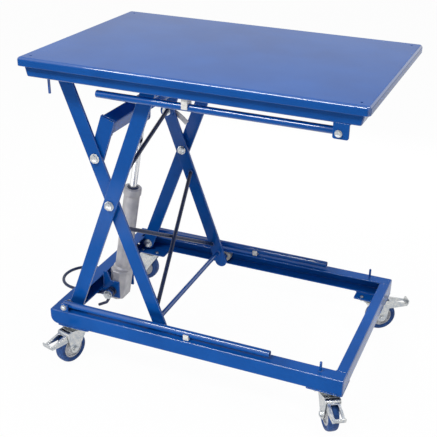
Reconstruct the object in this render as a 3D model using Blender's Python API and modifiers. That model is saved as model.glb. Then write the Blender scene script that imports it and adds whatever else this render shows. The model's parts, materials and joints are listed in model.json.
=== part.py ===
"""A wheeled scissor lift table, raised: base frame on four braked casters, crossed legs, foot-pumped
cylinder, platform, and four swing-out support struts. Metres, +Z up. +X points away from the pump, and
-Y is the front."""

import math

import bmesh
import bpy
from mathutils import Matrix, Vector
from mathutils.geometry import convex_hull_2d

# Fits
GAP = 0.0003
RUNNING = 0.0003
ROUND_SIDES = 16
PIN_SIDES = 10
WHEEL_SIDES = 20
ARC_STEPS = 6
FLAT_ANGLE = math.radians(1.0)

# Channel rails of the base and of the platform
RAIL_HEIGHT = 0.047
RAIL_WIDTH = 0.040
RAIL_WALL = 0.004
BASE_LEFT_REACH = 0.428
BASE_LENGTH = 0.876
BASE_CORNER_RADIUS = 0.022
LEFT_CROSS_WIDTH = 0.040
RIGHT_CROSS_WIDTH = 0.030
NOTCH_CLEARANCE = 0.002
CORNER_PLATE_LENGTH = 0.100
CORNER_PLATE_WIDTH = 0.080
CORNER_PLATE_THICKNESS = 0.0037

# Platform
TABLE_LENGTH = 0.900
TABLE_WIDTH = 0.600
SHEET = 0.003
LIP_HEIGHT = 0.022
LIP_EDGE_RADIUS = 0.008
LIP_EDGE_STEPS = 3
PAN_CORNER_RADIUS = 0.010
TABLE_FRAME_INSET = 0.013
TABLE_END_INSET = 0.0095
TABLE_END_LEAN = 0.0105
TABLE_END_WIDTH = 0.030
TOP_HOLE_RADIUS = 0.0032
TOP_HOLE_INSET = 0.027

# Scissor legs
LEG_LENGTH = 0.780
RAISED_ANGLE = math.radians(69.4)
LEG_WIDTH = 0.040
LEG_THICKNESS = 0.008
LEG_GAP = 0.008
RAIL_TO_LEG = 0.008
PIVOT_INSET = 0.050
PIVOT_RADIUS = 0.010
PIVOT_HEAD_RADIUS = 0.014
PIVOT_HEAD_LENGTH = 0.006
CENTRE_BOLT_RADIUS = 0.008
CENTRE_HEAD_RADIUS = 0.012
CENTRE_HEAD_LENGTH = 0.007
CENTRE_SPACER_RADIUS = 0.015
ROLLER_RADIUS = 0.018
ROLLER_WIDTH = 0.024
ROLLER_PIN_RADIUS = 0.008
TIE_BAR_RADIUS = 0.008
TIE_BAR_SETBACK = 0.060
CROSSBAR_RADIUS = 0.007
CROSSBAR_SETBACK = 0.030
BRACE_RADIUS = 0.006
BRACE_SETBACK = 0.065
BRACE_HIGH = 0.465
BRACE_OFFSET = 0.0065
UPPER_BRACE_REAR = 0.245
UPPER_BRACE_FRONT = 0.352
UPPER_BRACE_OFFSET = 0.021

# Lift arms and crossbeam
ARM_BOLT_SETBACK = 0.2595
ARM_ANGLE = math.radians(71.0)
ARM_LENGTH = 0.118
ARM_WIDTH = 0.042
ARM_THICKNESS = 0.008
ARM_TO_LEG = 0.001
ARM_BOLT_RADIUS = 0.007
ARM_HEAD_RADIUS = 0.011
ARM_HEAD_LENGTH = 0.006
BEAM_SIZE = 0.040
BEAM_WALL = 0.004
BEAM_LUG_THICKNESS = 0.008
BEAM_LUG_RADIUS = 0.016
BEAM_LUG_DROP = 0.045

# Pump cylinder
PUMP_INSET = 0.072
PUMP_BELOW_RAIL = 0.0025
PUMP_PIN_RADIUS = 0.008
FOOT_HALF_LENGTH = 0.0275
FOOT_HALF_WIDTH = 0.042
FOOT_BELOW = 0.040
FOOT_ABOVE = 0.062
FOOT_CHAMFER = 0.016
BARREL_RADIUS = 0.024
BARREL_TOP = 0.345
COLLAR_RADIUS = 0.027
COLLAR_HEIGHT = 0.022
BORE_FLOOR = 0.078
BORE_RADIUS = 0.0185
ROD_RADIUS = 0.011
ROD_ENGAGED = 0.055
PISTON_LENGTH = 0.014
ROD_EYE_RADIUS = 0.015
ROD_EYE_WIDTH = 0.026
EYE_TO_LUG = 0.002
CHEEK_THICKNESS = 0.006
CHEEK_CLEARANCE = 0.001
CHEEK_ABOVE_RAIL = 0.010
CHEEK_ABOVE_PIN = 0.030
CHEEK_BELOW_PIN = 0.027
CHEEK_REACH = 0.021
CHEEK_CORNER = 0.012
PEDAL_BAR_RADIUS = 0.0048
PEDAL_BELOW_RAIL = 0.015
PEDAL_HALF_WIDTH = 0.072
PEDAL_REACH = 0.126
PEDAL_EYE_RADIUS = 0.015
LEVER_EYE_THICKNESS = 0.007
PEDAL_TO_CHEEK = 0.004
RELEASE_BAR_RADIUS = 0.0046
RELEASE_DROP = 0.052
RELEASE_REACH = 0.040
RELEASE_KNEE_DROP = 0.036
RELEASE_KNEE_REACH = 0.012
PIN_NUT_RADIUS = 0.015
PIN_NUT_LENGTH = 0.006

# Support struts
STRUT_LEFT_INSET = 0.048
STRUT_RIGHT_INSET = 0.050
STRUT_RADIUS = 0.0095
STRUT_BORE_RADIUS = 0.0072
STRUT_BORE_DEPTH = 0.060
STRUT_OVER_RAIL = 0.005
STRUT_UNDER_RAIL = 0.0145
STRUT_TAIL_CLEARANCE = 0.0006
STRUT_END_GAP = 0.006
PIN_RADIUS = 0.0035
HANGING_PIN_LENGTH = 0.0425
UPRIGHT_PIN_LENGTH = 0.030
LUG_THICKNESS = 0.005
BASE_LUG_WIDTH = 0.024
TABLE_LUG_WIDTH = 0.036
LUG_MARGIN = 0.013
STRUT_BOLT_RADIUS = 0.0045
STRUT_HEAD_RADIUS = 0.0085
STRUT_HEAD_LENGTH = 0.004
CLIP_LENGTH = 0.016
CLIP_WALL = 0.0032
CLIP_CLEARANCE = 0.0005
CLIP_OVER = 0.0025

# Casters
CASTER_HEIGHT = 0.1172
CASTER_PLATE_LENGTH = 0.070
CASTER_LEFT_INSET = 0.063
CASTER_RIGHT_INSET = 0.049
CASTER_PLATE_WIDTH = 0.070
CASTER_PLATE_THICKNESS = 0.004
RACE_RADIUS = 0.027
RACE_HEIGHT = 0.006
KINGPIN_RADIUS = 0.006
KINGPIN_HEAD_RADIUS = 0.011
KINGPIN_HEAD_LENGTH = 0.004
CROWN_RADIUS = 0.030
CROWN_REACH = 0.042
CROWN_THICKNESS = 0.004
FORK_INSIDE = 0.037
FORK_SHEET = 0.003
FORK_BOSS_RADIUS = 0.015
WHEEL_RADIUS = 0.0475
WHEEL_TRAIL = 0.032
TYRE_WIDTH = 0.030
TYRE_DEPTH = 0.0155
TYRE_SHOULDER = 0.004
HUB_WIDTH = 0.035
HUB_BOSS_RADIUS = 0.013
HUB_WEB = 0.016
HUB_RIM = 0.004
AXLE_RADIUS = 0.005
AXLE_HEAD_RADIUS = 0.009
AXLE_HEAD_LENGTH = 0.005
BRAKE_PIN_RADIUS = 0.003
BRAKE_PIN_X = 0.052
BRAKE_PIN_DROP = 0.0063
BRAKE_BARREL_RADIUS = 0.0055
BRAKE_LENGTH = 0.067
BRAKE_FLANGE = 0.012
BRAKE_FLANGE_END = 0.005
BRAKE_SHEET = 0.0032
BRAKE_SLOPE = math.radians(-14.0)
BRAKE_LIP = 0.013
BRAKE_SIDE_GAP = 0.001
BRAKE_RIM = 0.0075
CASTER_HEADINGS = {
    "front_left": math.radians(254.0),
    "front_right": math.radians(-58.0),
    "rear_left": math.radians(180.0),
    "rear_right": math.radians(33.0),
}

# Heights and pivots that follow from the sizes above
corner_plate_low = CASTER_HEIGHT + GAP
corner_plate_high = corner_plate_low + CORNER_PLATE_THICKNESS
base_low = corner_plate_high + GAP
base_high = base_low + RAIL_HEIGHT
base_left = -BASE_LEFT_REACH
base_right = base_left + BASE_LENGTH
pivot_x = base_left + PIVOT_INSET
base_pivot = Vector((pivot_x, base_low + RAIL_HEIGHT / 2))
leg_axis = Vector((math.cos(RAISED_ANGLE), math.sin(RAISED_ANGLE)))
inner_axis = Vector((leg_axis.x, -leg_axis.y))
inner_normal = Vector((leg_axis.y, leg_axis.x))
table_pivot = Vector((pivot_x, base_pivot.y + LEG_LENGTH * leg_axis.y))
centre_pivot = base_pivot + leg_axis * (LEG_LENGTH / 2)
upper_roller = base_pivot + leg_axis * LEG_LENGTH
lower_roller = table_pivot + inner_axis * LEG_LENGTH
table_rail_low = table_pivot.y - RAIL_HEIGHT / 2
table_rail_high = table_pivot.y + RAIL_HEIGHT / 2
sheet_low = table_rail_high + GAP
table_height = sheet_low + SHEET

# Places across the width, as distances from the middle
rail_outer = TABLE_WIDTH / 2 - TABLE_FRAME_INSET
rail_inner = rail_outer - RAIL_WIDTH
rail_middle = rail_outer - RAIL_WIDTH / 2
web_inner = rail_outer - RAIL_WALL
outer_leg_far = rail_inner - RAIL_TO_LEG
outer_leg_near = outer_leg_far - LEG_THICKNESS
inner_leg_far = outer_leg_near - LEG_GAP
inner_leg_near = inner_leg_far - LEG_THICKNESS
arm_far = inner_leg_near - ARM_TO_LEG
arm_near = arm_far - ARM_THICKNESS
roller_near = (rail_inner + web_inner) / 2 - ROLLER_WIDTH / 2
roller_far = roller_near + ROLLER_WIDTH
cheek_near = FOOT_HALF_WIDTH + CHEEK_CLEARANCE
cheek_far = cheek_near + CHEEK_THICKNESS
pedal_bar_middle = cheek_far + PEDAL_TO_CHEEK + PEDAL_BAR_RADIUS
release_bar_middle = pedal_bar_middle + PEDAL_BAR_RADIUS + PEDAL_TO_CHEEK + RELEASE_BAR_RADIUS

# Places along the length
pump_x = base_left + PUMP_INSET
pedal_left = base_left - PEDAL_REACH
table_end_top = TABLE_LENGTH / 2 - TABLE_END_INSET
table_end_low = table_end_top - TABLE_END_LEAN
strut_left = max(base_left, -table_end_low) + STRUT_LEFT_INSET
strut_right = min(base_right, table_end_low) - STRUT_RIGHT_INSET
base_strut_z = base_high + STRUT_OVER_RAIL + STRUT_RADIUS
table_strut_z = table_rail_low - STRUT_UNDER_RAIL - STRUT_RADIUS
base_strut_length = table_rail_low - HANGING_PIN_LENGTH - STRUT_END_GAP - base_strut_z
table_strut_length = table_strut_z - base_high - UPRIGHT_PIN_LENGTH - STRUT_END_GAP

# The lift arm, its crossbeam and the pump cylinder's line, in the side view
arm_bolt = table_pivot + inner_axis * ARM_BOLT_SETBACK
arm_axis = Vector((math.cos(ARM_ANGLE), math.sin(ARM_ANGLE)))
beam_middle = arm_bolt + arm_axis * (ARM_LENGTH - BEAM_SIZE / 2)
pump_pivot = Vector((pump_x, base_low - PUMP_BELOW_RAIL))
rod_pin = beam_middle - (beam_middle - pump_pivot).normalized() * BEAM_LUG_DROP
pump_axis = (rod_pin - pump_pivot).normalized()
pump_reach = (rod_pin - pump_pivot).length

FINISHES = {
    "blue_paint": ((0.004, 0.075, 0.330), 0.28, 0.0),
    "zinc": ((0.62, 0.63, 0.64), 0.35, 1.0),
    "grey_casting": ((0.48, 0.47, 0.45), 0.45, 0.3),
    "chrome_rod": ((0.75, 0.75, 0.76), 0.15, 1.0),
    "dark_bar": ((0.010, 0.018, 0.060), 0.40, 0.0),
    "white_plastic": ((0.80, 0.80, 0.77), 0.45, 0.0),
    "cream_roller": ((0.70, 0.66, 0.55), 0.50, 0.0),
    "blue_tyre": ((0.020, 0.075, 0.300), 0.60, 0.0),
    "grey_hub": ((0.55, 0.56, 0.57), 0.50, 0.0),
}
SIDES = {"front": -1, "rear": 1}


# Scene, finishes and bodies
def clear_scene():
    for obj in list(bpy.data.objects):
        bpy.data.objects.remove(obj, do_unlink=True)


def make_finish(name):
    colour, roughness, metallic = FINISHES[name]
    finish = bpy.data.materials.new(name)
    finish.use_nodes = True
    shader = finish.node_tree.nodes["Principled BSDF"]
    shader.inputs["Base Color"].default_value = (*colour, 1.0)
    shader.inputs["Roughness"].default_value = roughness
    shader.inputs["Metallic"].default_value = metallic
    return finish


def make_body(name, place=(0.0, 0.0, 0.0), parent=None, turn=0.0):
    """An empty on the joint's axis that carries a moving body. Its place is in the whole object's frame."""
    empty = bpy.data.objects.new(name, None)
    parts.objects.link(empty)
    world = Matrix.Translation(place) @ Matrix.Rotation(turn, 4, "Z")
    if parent is None:
        empty.matrix_world = world
    else:
        empty.parent = parent
        empty.matrix_basis = parent.matrix_world.inverted() @ world
    bpy.context.view_layer.update()
    return empty


def add_piece(name, shape, body, finish, local=False):
    """Turns a shape into a named object on a body. A local shape is in the body's own frame."""
    if not local:
        shape.transform(body.matrix_world.inverted())
    mesh = bpy.data.meshes.new(name)
    shape.to_mesh(mesh)
    shape.free()
    mesh.shade_smooth()
    mesh.set_sharp_from_angle(angle=math.radians(30))
    mesh.materials.append(finishes[finish])
    obj = bpy.data.objects.new(name, mesh)
    obj.parent = body
    parts.objects.link(obj)
    return obj


# Solids
def solid_from(obj):
    """The evaluated shape of a helper object, closed and facing out. The helper is removed."""
    graph = bpy.context.evaluated_depsgraph_get()
    mesh = bpy.data.meshes.new_from_object(obj.evaluated_get(graph))
    shape = bmesh.new()
    shape.from_mesh(mesh)
    bpy.data.meshes.remove(mesh)
    bpy.data.objects.remove(obj, do_unlink=True)
    bmesh.ops.remove_doubles(shape, verts=shape.verts, dist=1e-6)
    bmesh.ops.recalc_face_normals(shape, faces=shape.faces)
    return shape


def helper(name, data):
    obj = bpy.data.objects.new(name, data)
    obj.hide_render = True
    obj.display_type = "WIRE"
    helpers.objects.link(obj)
    return obj


def helper_of(shape):
    mesh = bpy.data.meshes.new("helper")
    shape.to_mesh(mesh)
    shape.free()
    return helper("helper", mesh)


def combine(shape, others, operation):
    """One solid from several, by union or difference."""
    target = helper_of(shape)
    tools = [helper_of(other) for other in others]
    for tool in tools:
        modifier = target.modifiers.new(operation, "BOOLEAN")
        modifier.operation = operation
        modifier.solver = "EXACT"
        modifier.object = tool
    result = solid_from(target)
    for tool in tools:
        bpy.data.objects.remove(tool, do_unlink=True)
    return result


def join(shape, *others):
    return combine(shape, others, "UNION")


def cut(shape, *others):
    return combine(shape, others, "DIFFERENCE")


def box(low, high):
    low = Vector(low)
    high = Vector(high)
    shape = bmesh.new()
    bmesh.ops.create_cube(shape, size=1.0)
    size = Matrix.Diagonal((*(abs(high[i] - low[i]) for i in range(3)), 1.0))
    shape.transform(Matrix.Translation((low + high) / 2) @ size)
    return shape


def rod(start, end, radius, sides=ROUND_SIDES):
    """A round bar between two points."""
    start = Vector(start)
    end = Vector(end)
    shape = bmesh.new()
    bmesh.ops.create_cone(shape, cap_ends=True, segments=sides, radius1=radius, radius2=radius,
                          depth=(end - start).length)
    turn = (end - start).to_track_quat("Z", "Y").to_matrix().to_4x4()
    shape.transform(Matrix.Translation((start + end) / 2) @ turn)
    return shape


def cross_rod(centre, near, far, radius, sides=ROUND_SIDES):
    """A round bar along Y at a point of the side view."""
    return rod((centre[0], near, centre[1]), (centre[0], far, centre[1]), radius, sides)


def plate(loops, axis, low, high):
    """A flat outline, its first loop the edge and the others holes, extruded along an axis."""
    frames = {
        "x": ((0, 1, 0), (0, 0, 1), (1, 0, 0)),
        "y": ((1, 0, 0), (0, 0, 1), (0, -1, 0)),
        "z": ((1, 0, 0), (0, 1, 0), (0, 0, 1)),
    }
    curve = bpy.data.curves.new("outline", "CURVE")
    curve.dimensions = "2D"
    curve.fill_mode = "BOTH"
    curve.extrude = abs(high - low) / 2
    for loop in loops:
        spline = curve.splines.new("POLY")
        spline.points.add(len(loop) - 1)
        for point, place in zip(spline.points, loop):
            point.co = (place[0], place[1], 0.0, 1.0)
        spline.use_cyclic_u = True
    shape = solid_from(helper("outline", curve))
    columns = Matrix(frames[axis]).transposed().to_4x4()
    middle = Vector([0.0, 0.0, 0.0])
    middle["xyz".index(axis)] = (low + high) / 2
    shape.transform(Matrix.Translation(middle) @ columns)
    return shape


def turned(profile, start, direction, sides=ROUND_SIDES):
    """A profile of (radius, height) points turned about an axis. A profile off the axis makes a ring."""
    mesh = bpy.data.meshes.new("profile")
    ring = min(radius for radius, _ in profile) > 0
    edges = [(i, i + 1) for i in range(len(profile) - 1)]
    if ring:
        edges.append((len(profile) - 1, 0))
    mesh.from_pydata([(radius, 0.0, height) for radius, height in profile], edges, [])
    obj = helper("profile", mesh)
    screw = obj.modifiers.new("turn", "SCREW")
    screw.steps = sides
    screw.render_steps = sides
    screw.use_merge_vertices = True
    screw.merge_threshold = 1e-5
    shape = solid_from(obj)
    turn = Vector(direction).to_track_quat("Z", "Y").to_matrix().to_4x4()
    shape.transform(Matrix.Translation(start) @ turn)
    return shape


def bent_bar(points, radius):
    """A round bar along points, with closed ends."""
    curve = bpy.data.curves.new("bar", "CURVE")
    curve.dimensions = "3D"
    curve.bevel_depth = radius
    curve.bevel_resolution = 2
    curve.use_fill_caps = True
    spline = curve.splines.new("POLY")
    spline.points.add(len(points) - 1)
    for point, place in zip(spline.points, points):
        point.co = (*place, 1.0)
    return solid_from(helper("bar", curve))


# Outlines in a flat view
def arc(centre, radius, start, end, steps=ARC_STEPS):
    angles = [start + (end - start) * i / steps for i in range(steps + 1)]
    return [(centre[0] + radius * math.cos(a), centre[1] + radius * math.sin(a)) for a in angles]


def circle(centre, radius, sides=ROUND_SIDES):
    return arc(centre, radius, 0.0, math.tau * (1 - 1 / sides), sides - 1)


def bar_outline(start, end, width):
    """A flat bar with round ends."""
    along = math.atan2(end[1] - start[1], end[0] - start[0])
    quarter = math.pi / 2
    far_end = arc(end, width / 2, along - quarter, along + quarter)
    return far_end + arc(start, width / 2, along + quarter, along + 3 * quarter)


def hull(points):
    return [points[i] for i in convex_hull_2d(points)]


def rectangle(left, low, right, high):
    return [(left, low), (right, low), (right, high), (left, high)]


def channel_section(outer, inner, low, high):
    """A C section whose web is at the outer side, in a view of (across, up)."""
    wall = RAIL_WALL if outer > inner else -RAIL_WALL
    web = outer - wall
    return [(outer, low), (inner, low), (inner, low + RAIL_WALL), (web, low + RAIL_WALL),
            (web, high - RAIL_WALL), (inner, high - RAIL_WALL), (inner, high), (outer, high)]


# Base frame
def strut_bolt(side, place, lug_far):
    """The bolt of a strut: a head outside its lug, a shank through the strut and a stop inside."""
    near = rail_middle - STRUT_RADIUS - CLIP_CLEARANCE
    head = cross_rod(place, side * (lug_far - STRUT_HEAD_LENGTH / 2), side * (lug_far + STRUT_HEAD_LENGTH),
                     STRUT_HEAD_RADIUS, 6)
    shank = cross_rod(place, side * lug_far, side * (near - STRUT_HEAD_LENGTH / 2), STRUT_BOLT_RADIUS,
                      PIN_SIDES)
    stop = cross_rod(place, side * near, side * (near - STRUT_HEAD_LENGTH), STRUT_HEAD_RADIUS, 6)
    return [head, shank, stop]


def pivot_stud(side, place, leg_near):
    """A stud welded to the web, with the head that keeps the leg on it."""
    head_start = leg_near - RUNNING
    stud = cross_rod(place, side * (web_inner + RAIL_WALL / 2), side * (head_start - PIVOT_HEAD_LENGTH / 2),
                     PIVOT_RADIUS)
    head = cross_rod(place, side * head_start, side * (head_start - PIVOT_HEAD_LENGTH), PIVOT_HEAD_RADIUS, 6)
    return [stud, head]


def closed_rail(side, outline, hollow):
    """A channel with closed ends, open towards the middle, made from its side view and its hollow's."""
    solid = plate([outline], "y", side * rail_outer, side * rail_inner)
    return cut(solid, plate([hollow], "y", side * web_inner, side * (rail_inner - RAIL_WALL)))


def base_rail_view(wall):
    """The base rail's side view, set in by a wall. Its lower left corner is round."""
    centre = (base_left + BASE_CORNER_RADIUS, base_low + BASE_CORNER_RADIUS)
    corner = arc(centre, BASE_CORNER_RADIUS - wall, math.pi, 1.5 * math.pi)
    return [(base_right - wall, base_low + wall), (base_right - wall, base_high - wall),
            (base_left + wall, base_high - wall)] + corner


def base_rail(side):
    rail = closed_rail(side, base_rail_view(0.0), base_rail_view(RAIL_WALL))
    margin = RAIL_WALL
    pieces = []
    for left in (base_left + BASE_CORNER_RADIUS, base_right - CORNER_PLATE_LENGTH):
        right = left + CORNER_PLATE_LENGTH
        pieces.append(box((left, side * rail_outer, corner_plate_low),
                          (right, side * (rail_outer - CORNER_PLATE_WIDTH), corner_plate_high)))
        filler_low = corner_plate_low + CORNER_PLATE_THICKNESS / 2
        pieces.append(box((left + margin, side * (rail_outer - margin), filler_low),
                          (right - margin, side * (rail_inner + margin), base_low + RAIL_WALL / 2)))
    pin_top = base_high + UPRIGHT_PIN_LENGTH
    pieces.append(rod((strut_right, side * rail_middle, base_high - RAIL_WALL / 2),
                      (strut_right, side * rail_middle, pin_top), PIN_RADIUS, PIN_SIDES))
    lug_place = (strut_left, base_strut_z)
    lug = hull(arc(lug_place, BASE_LUG_WIDTH / 2, 0.0, math.pi)
               + rectangle(strut_left - BASE_LUG_WIDTH / 2, base_high - RAIL_WALL / 2,
                           strut_left + BASE_LUG_WIDTH / 2, base_strut_z))
    pieces.append(plate([lug], "y", side * rail_outer, side * (rail_outer - LUG_THICKNESS)))
    pieces += strut_bolt(side, lug_place, rail_outer)
    pieces += pivot_stud(side, base_pivot, outer_leg_near)
    return join(rail, *pieces)


def cross_member(outer, width, low, high):
    """A channel between the rails, its web at the outer end of the frame."""
    inner = outer - math.copysign(width, outer)
    section = channel_section(outer, inner, low, high)
    return plate([section], "y", GAP - rail_inner, rail_inner - GAP)


def left_cross_member():
    """The cross-member at the pump end, with its flanges notched round the lower ends of the legs."""
    notch_left = pivot_x - LEG_WIDTH / 2 - NOTCH_CLEARANCE
    notch_right = base_left + LEFT_CROSS_WIDTH + NOTCH_CLEARANCE
    notches = [box((notch_left, side * (outer_leg_near - NOTCH_CLEARANCE), base_low - RAIL_WALL),
                   (notch_right, side * rail_outer, base_high + RAIL_WALL)) for side in SIDES.values()]
    return cut(cross_member(base_left, LEFT_CROSS_WIDTH, base_low, base_high), *notches)


def strut_clip(side, strut_z, seat_z):
    """A clip that stands on a rail and opens away from it, so that the strut swings out."""
    toward = 1 if strut_z > seat_z else -1
    inside = STRUT_RADIUS + CLIP_CLEARANCE
    outside = inside + CLIP_WALL
    middle = side * rail_middle
    seat = seat_z + toward * GAP
    tip = strut_z + toward * CLIP_OVER
    slot = arc((middle, strut_z), inside, 0.0, -toward * math.pi)
    outline = [(middle - outside, seat), (middle - outside, tip), (middle - inside, tip)]
    outline += slot[::-1] + [(middle + inside, tip), (middle + outside, tip), (middle + outside, seat)]
    return plate([outline], "x", -CLIP_LENGTH / 2, CLIP_LENGTH / 2)


def pump_bracket():
    """Two cheeks under and behind the left cross-member, joined by the cylinder's pivot pin."""
    under = base_low - GAP
    behind = base_left + LEFT_CROSS_WIDTH + GAP
    right = pump_x + CHEEK_REACH
    corner = CHEEK_CORNER
    bottom = pump_pivot.y - CHEEK_BELOW_PIN
    shoulder = pump_pivot.y + CHEEK_ABOVE_PIN
    top = base_high + CHEEK_ABOVE_RAIL
    outline = [(base_left, under), (base_left, under - corner), (behind - corner, bottom), (right, bottom),
               (right, shoulder), (behind + 2 * corner, shoulder), (behind + corner, top), (behind, top),
               (behind, under)]
    cheeks = [plate([outline], "y", side * cheek_near, side * cheek_far) for side in SIDES.values()]
    rear_end = pedal_bar_middle + PEDAL_BAR_RADIUS + PEDAL_TO_CHEEK
    front_end = -release_bar_middle - RELEASE_BAR_RADIUS - RUNNING
    half_nut = PIN_NUT_LENGTH / 2
    pin = cross_rod(pump_pivot, front_end - half_nut, rear_end + half_nut, PUMP_PIN_RADIUS)
    nuts = [cross_rod(pump_pivot, front_end - PIN_NUT_LENGTH, front_end, PIN_NUT_RADIUS, 6),
            cross_rod(pump_pivot, rear_end, rear_end + PIN_NUT_LENGTH, PIN_NUT_RADIUS, 6)]
    return join(pin, *cheeks, *nuts)


# Casters, each in its own frame: the swivel axis at the origin, the wheel trailing along +X
def caster_plate():
    low = CASTER_HEIGHT - CASTER_PLATE_THICKNESS
    race_low = low - RACE_HEIGHT
    crown_low = race_low - RUNNING - CROWN_THICKNESS
    head_high = crown_low - RUNNING
    top = box((-CASTER_PLATE_LENGTH / 2, -CASTER_PLATE_WIDTH / 2, low),
              (CASTER_PLATE_LENGTH / 2, CASTER_PLATE_WIDTH / 2, CASTER_HEIGHT))
    race = rod((0, 0, race_low), (0, 0, low + CASTER_PLATE_THICKNESS / 2), RACE_RADIUS)
    kingpin = rod((0, 0, head_high - KINGPIN_HEAD_LENGTH / 2), (0, 0, low), KINGPIN_RADIUS, PIN_SIDES)
    head = rod((0, 0, head_high - KINGPIN_HEAD_LENGTH), (0, 0, head_high), KINGPIN_HEAD_RADIUS, 6)
    return join(top, race, kingpin, head)


def brake_pin_place():
    crown_high = CASTER_HEIGHT - CASTER_PLATE_THICKNESS - RACE_HEIGHT - RUNNING
    return Vector((BRAKE_PIN_X, crown_high - BRAKE_PIN_DROP))


def caster_fork():
    crown_high = CASTER_HEIGHT - CASTER_PLATE_THICKNESS - RACE_HEIGHT - RUNNING
    crown_low = crown_high - CROWN_THICKNESS
    inside = FORK_INSIDE / 2
    outside = inside + FORK_SHEET
    axle = (WHEEL_TRAIL, WHEEL_RADIUS)
    brake_pin = brake_pin_place()
    crown_outline = hull(circle((0, 0), CROWN_RADIUS) + rectangle(0, -outside, CROWN_REACH, outside))
    kingpin_hole = circle((0, 0), KINGPIN_RADIUS + RUNNING, PIN_SIDES)
    crown = plate([crown_outline, kingpin_hole], "z", crown_low, crown_high)
    cheek_top = crown_low + CROWN_THICKNESS / 2
    cheek = hull(circle(axle, FORK_BOSS_RADIUS) + circle(brake_pin, 2 * BRAKE_PIN_RADIUS, PIN_SIDES)
                 + [(-CROWN_RADIUS + FORK_SHEET, cheek_top), (BRAKE_PIN_X, cheek_top)])
    cheeks = [plate([cheek], "y", side * inside, side * outside) for side in SIDES.values()]
    bolt_end = outside + AXLE_HEAD_LENGTH / 2
    bolt = cross_rod(axle, -bolt_end, bolt_end, AXLE_RADIUS, PIN_SIDES)
    heads = [cross_rod(axle, side * (outside - FORK_SHEET / 2), side * (outside + AXLE_HEAD_LENGTH),
                       AXLE_HEAD_RADIUS, 6) for side in SIDES.values()]
    pin_end = inside + FORK_SHEET / 2
    pin = cross_rod(brake_pin, -pin_end, pin_end, BRAKE_PIN_RADIUS, PIN_SIDES)
    return join(crown, *cheeks, bolt, *heads, pin)


def wheel_hub():
    bore = AXLE_RADIUS + RUNNING
    rim = WHEEL_RADIUS - TYRE_DEPTH - GAP
    half = HUB_WIDTH / 2
    web = HUB_WEB / 2
    edge = TYRE_WIDTH / 2 - TYRE_SHOULDER / 2
    side = [(bore, half), (HUB_BOSS_RADIUS, half), (rim - HUB_RIM, web), (rim - HUB_RIM, edge), (rim, edge)]
    profile = side + [(radius, -height) for radius, height in reversed(side)]
    return turned(profile, (WHEEL_TRAIL, 0, WHEEL_RADIUS), (0, 1, 0), WHEEL_SIDES)


def wheel_tyre():
    inner = WHEEL_RADIUS - TYRE_DEPTH
    half = TYRE_WIDTH / 2
    crown = WHEEL_RADIUS - TYRE_SHOULDER / 6
    side = [(inner, half - TYRE_SHOULDER / 2), (WHEEL_RADIUS - TYRE_SHOULDER, half),
            (crown, half - TYRE_SHOULDER)]
    profile = side + [(WHEEL_RADIUS, 0.0)] + [(radius, -height) for radius, height in reversed(side)]
    return turned(profile, (WHEEL_TRAIL, 0, WHEEL_RADIUS), (0, 1, 0), WHEEL_SIDES)


def brake_pedal():
    pin = brake_pin_place()
    along = Vector((math.cos(BRAKE_SLOPE), math.sin(BRAKE_SLOPE)))
    above = Vector((-along.y, along.x))
    half = FORK_INSIDE / 2 - BRAKE_SIDE_GAP
    sheet = BRAKE_SHEET / 2
    outline = [pin + above * sheet, pin + along * (BRAKE_LENGTH - BRAKE_SHEET) + above * sheet,
               pin + along * (BRAKE_LENGTH - BRAKE_SHEET) + above * BRAKE_LIP,
               pin + along * BRAKE_LENGTH + above * BRAKE_LIP,
               pin + along * BRAKE_LENGTH - above * sheet, pin - above * sheet]
    tread = plate([outline], "y", -half, half)
    flange = [pin + above * (sheet / 2), pin - above * BRAKE_FLANGE_END,
              pin + along * BRAKE_FLANGE - above * BRAKE_FLANGE,
              pin + along * (BRAKE_LENGTH - BRAKE_SHEET / 2) - above * BRAKE_FLANGE_END,
              pin + along * (BRAKE_LENGTH - BRAKE_SHEET / 2) + above * (sheet / 2)]
    flanges = [plate([flange], "y", side * (half - BRAKE_SHEET / 2 - RUNNING), side * (half + RUNNING))
               for side in SIDES.values()]
    barrel = cross_rod(pin, -half, half, BRAKE_BARREL_RADIUS, PIN_SIDES)
    window = rectangle(pin.x + BRAKE_BARREL_RADIUS + BRAKE_RIM / 2, -half + BRAKE_RIM,
                       pin.x + along.x * BRAKE_LENGTH - BRAKE_RIM, half - BRAKE_RIM)
    opening = plate([window], "z", 0.0, CASTER_HEIGHT)
    bore = cross_rod(pin, -FORK_INSIDE, FORK_INSIDE, BRAKE_PIN_RADIUS + RUNNING, PIN_SIDES)
    return cut(join(tread, barrel, *flanges), opening, bore)


def add_caster(corner, centre):
    heading = CASTER_HEADINGS[corner]
    place = Vector((centre[0], centre[1], 0.0))
    fork = make_body("fork_" + corner, place, base, heading)
    spin = Matrix.Rotation(heading, 4, "Z")
    axle_place = place + spin @ Vector((WHEEL_TRAIL, 0.0, WHEEL_RADIUS))
    pin = brake_pin_place()
    pin_place = place + spin @ Vector((pin.x, 0.0, pin.y))
    wheel = make_body("wheel_" + corner, axle_place, fork, heading)
    brake = make_body("brake_" + corner, pin_place, fork, heading)
    stand = Matrix.Translation(place) @ spin
    top_plate = caster_plate()
    top_plate.transform(Matrix.Translation(place))
    add_piece("caster_plate_" + corner, top_plate, base, "zinc")
    add_piece("caster_fork_" + corner, caster_fork(), fork, "zinc", local=True)
    for name, shape, body, finish in (("caster_hub_", wheel_hub(), wheel, "grey_hub"),
                                      ("caster_tyre_", wheel_tyre(), wheel, "blue_tyre"),
                                      ("brake_pedal_", brake_pedal(), brake, "zinc")):
        shape.transform(stand)
        add_piece(name + corner, shape, body, finish)


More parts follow.
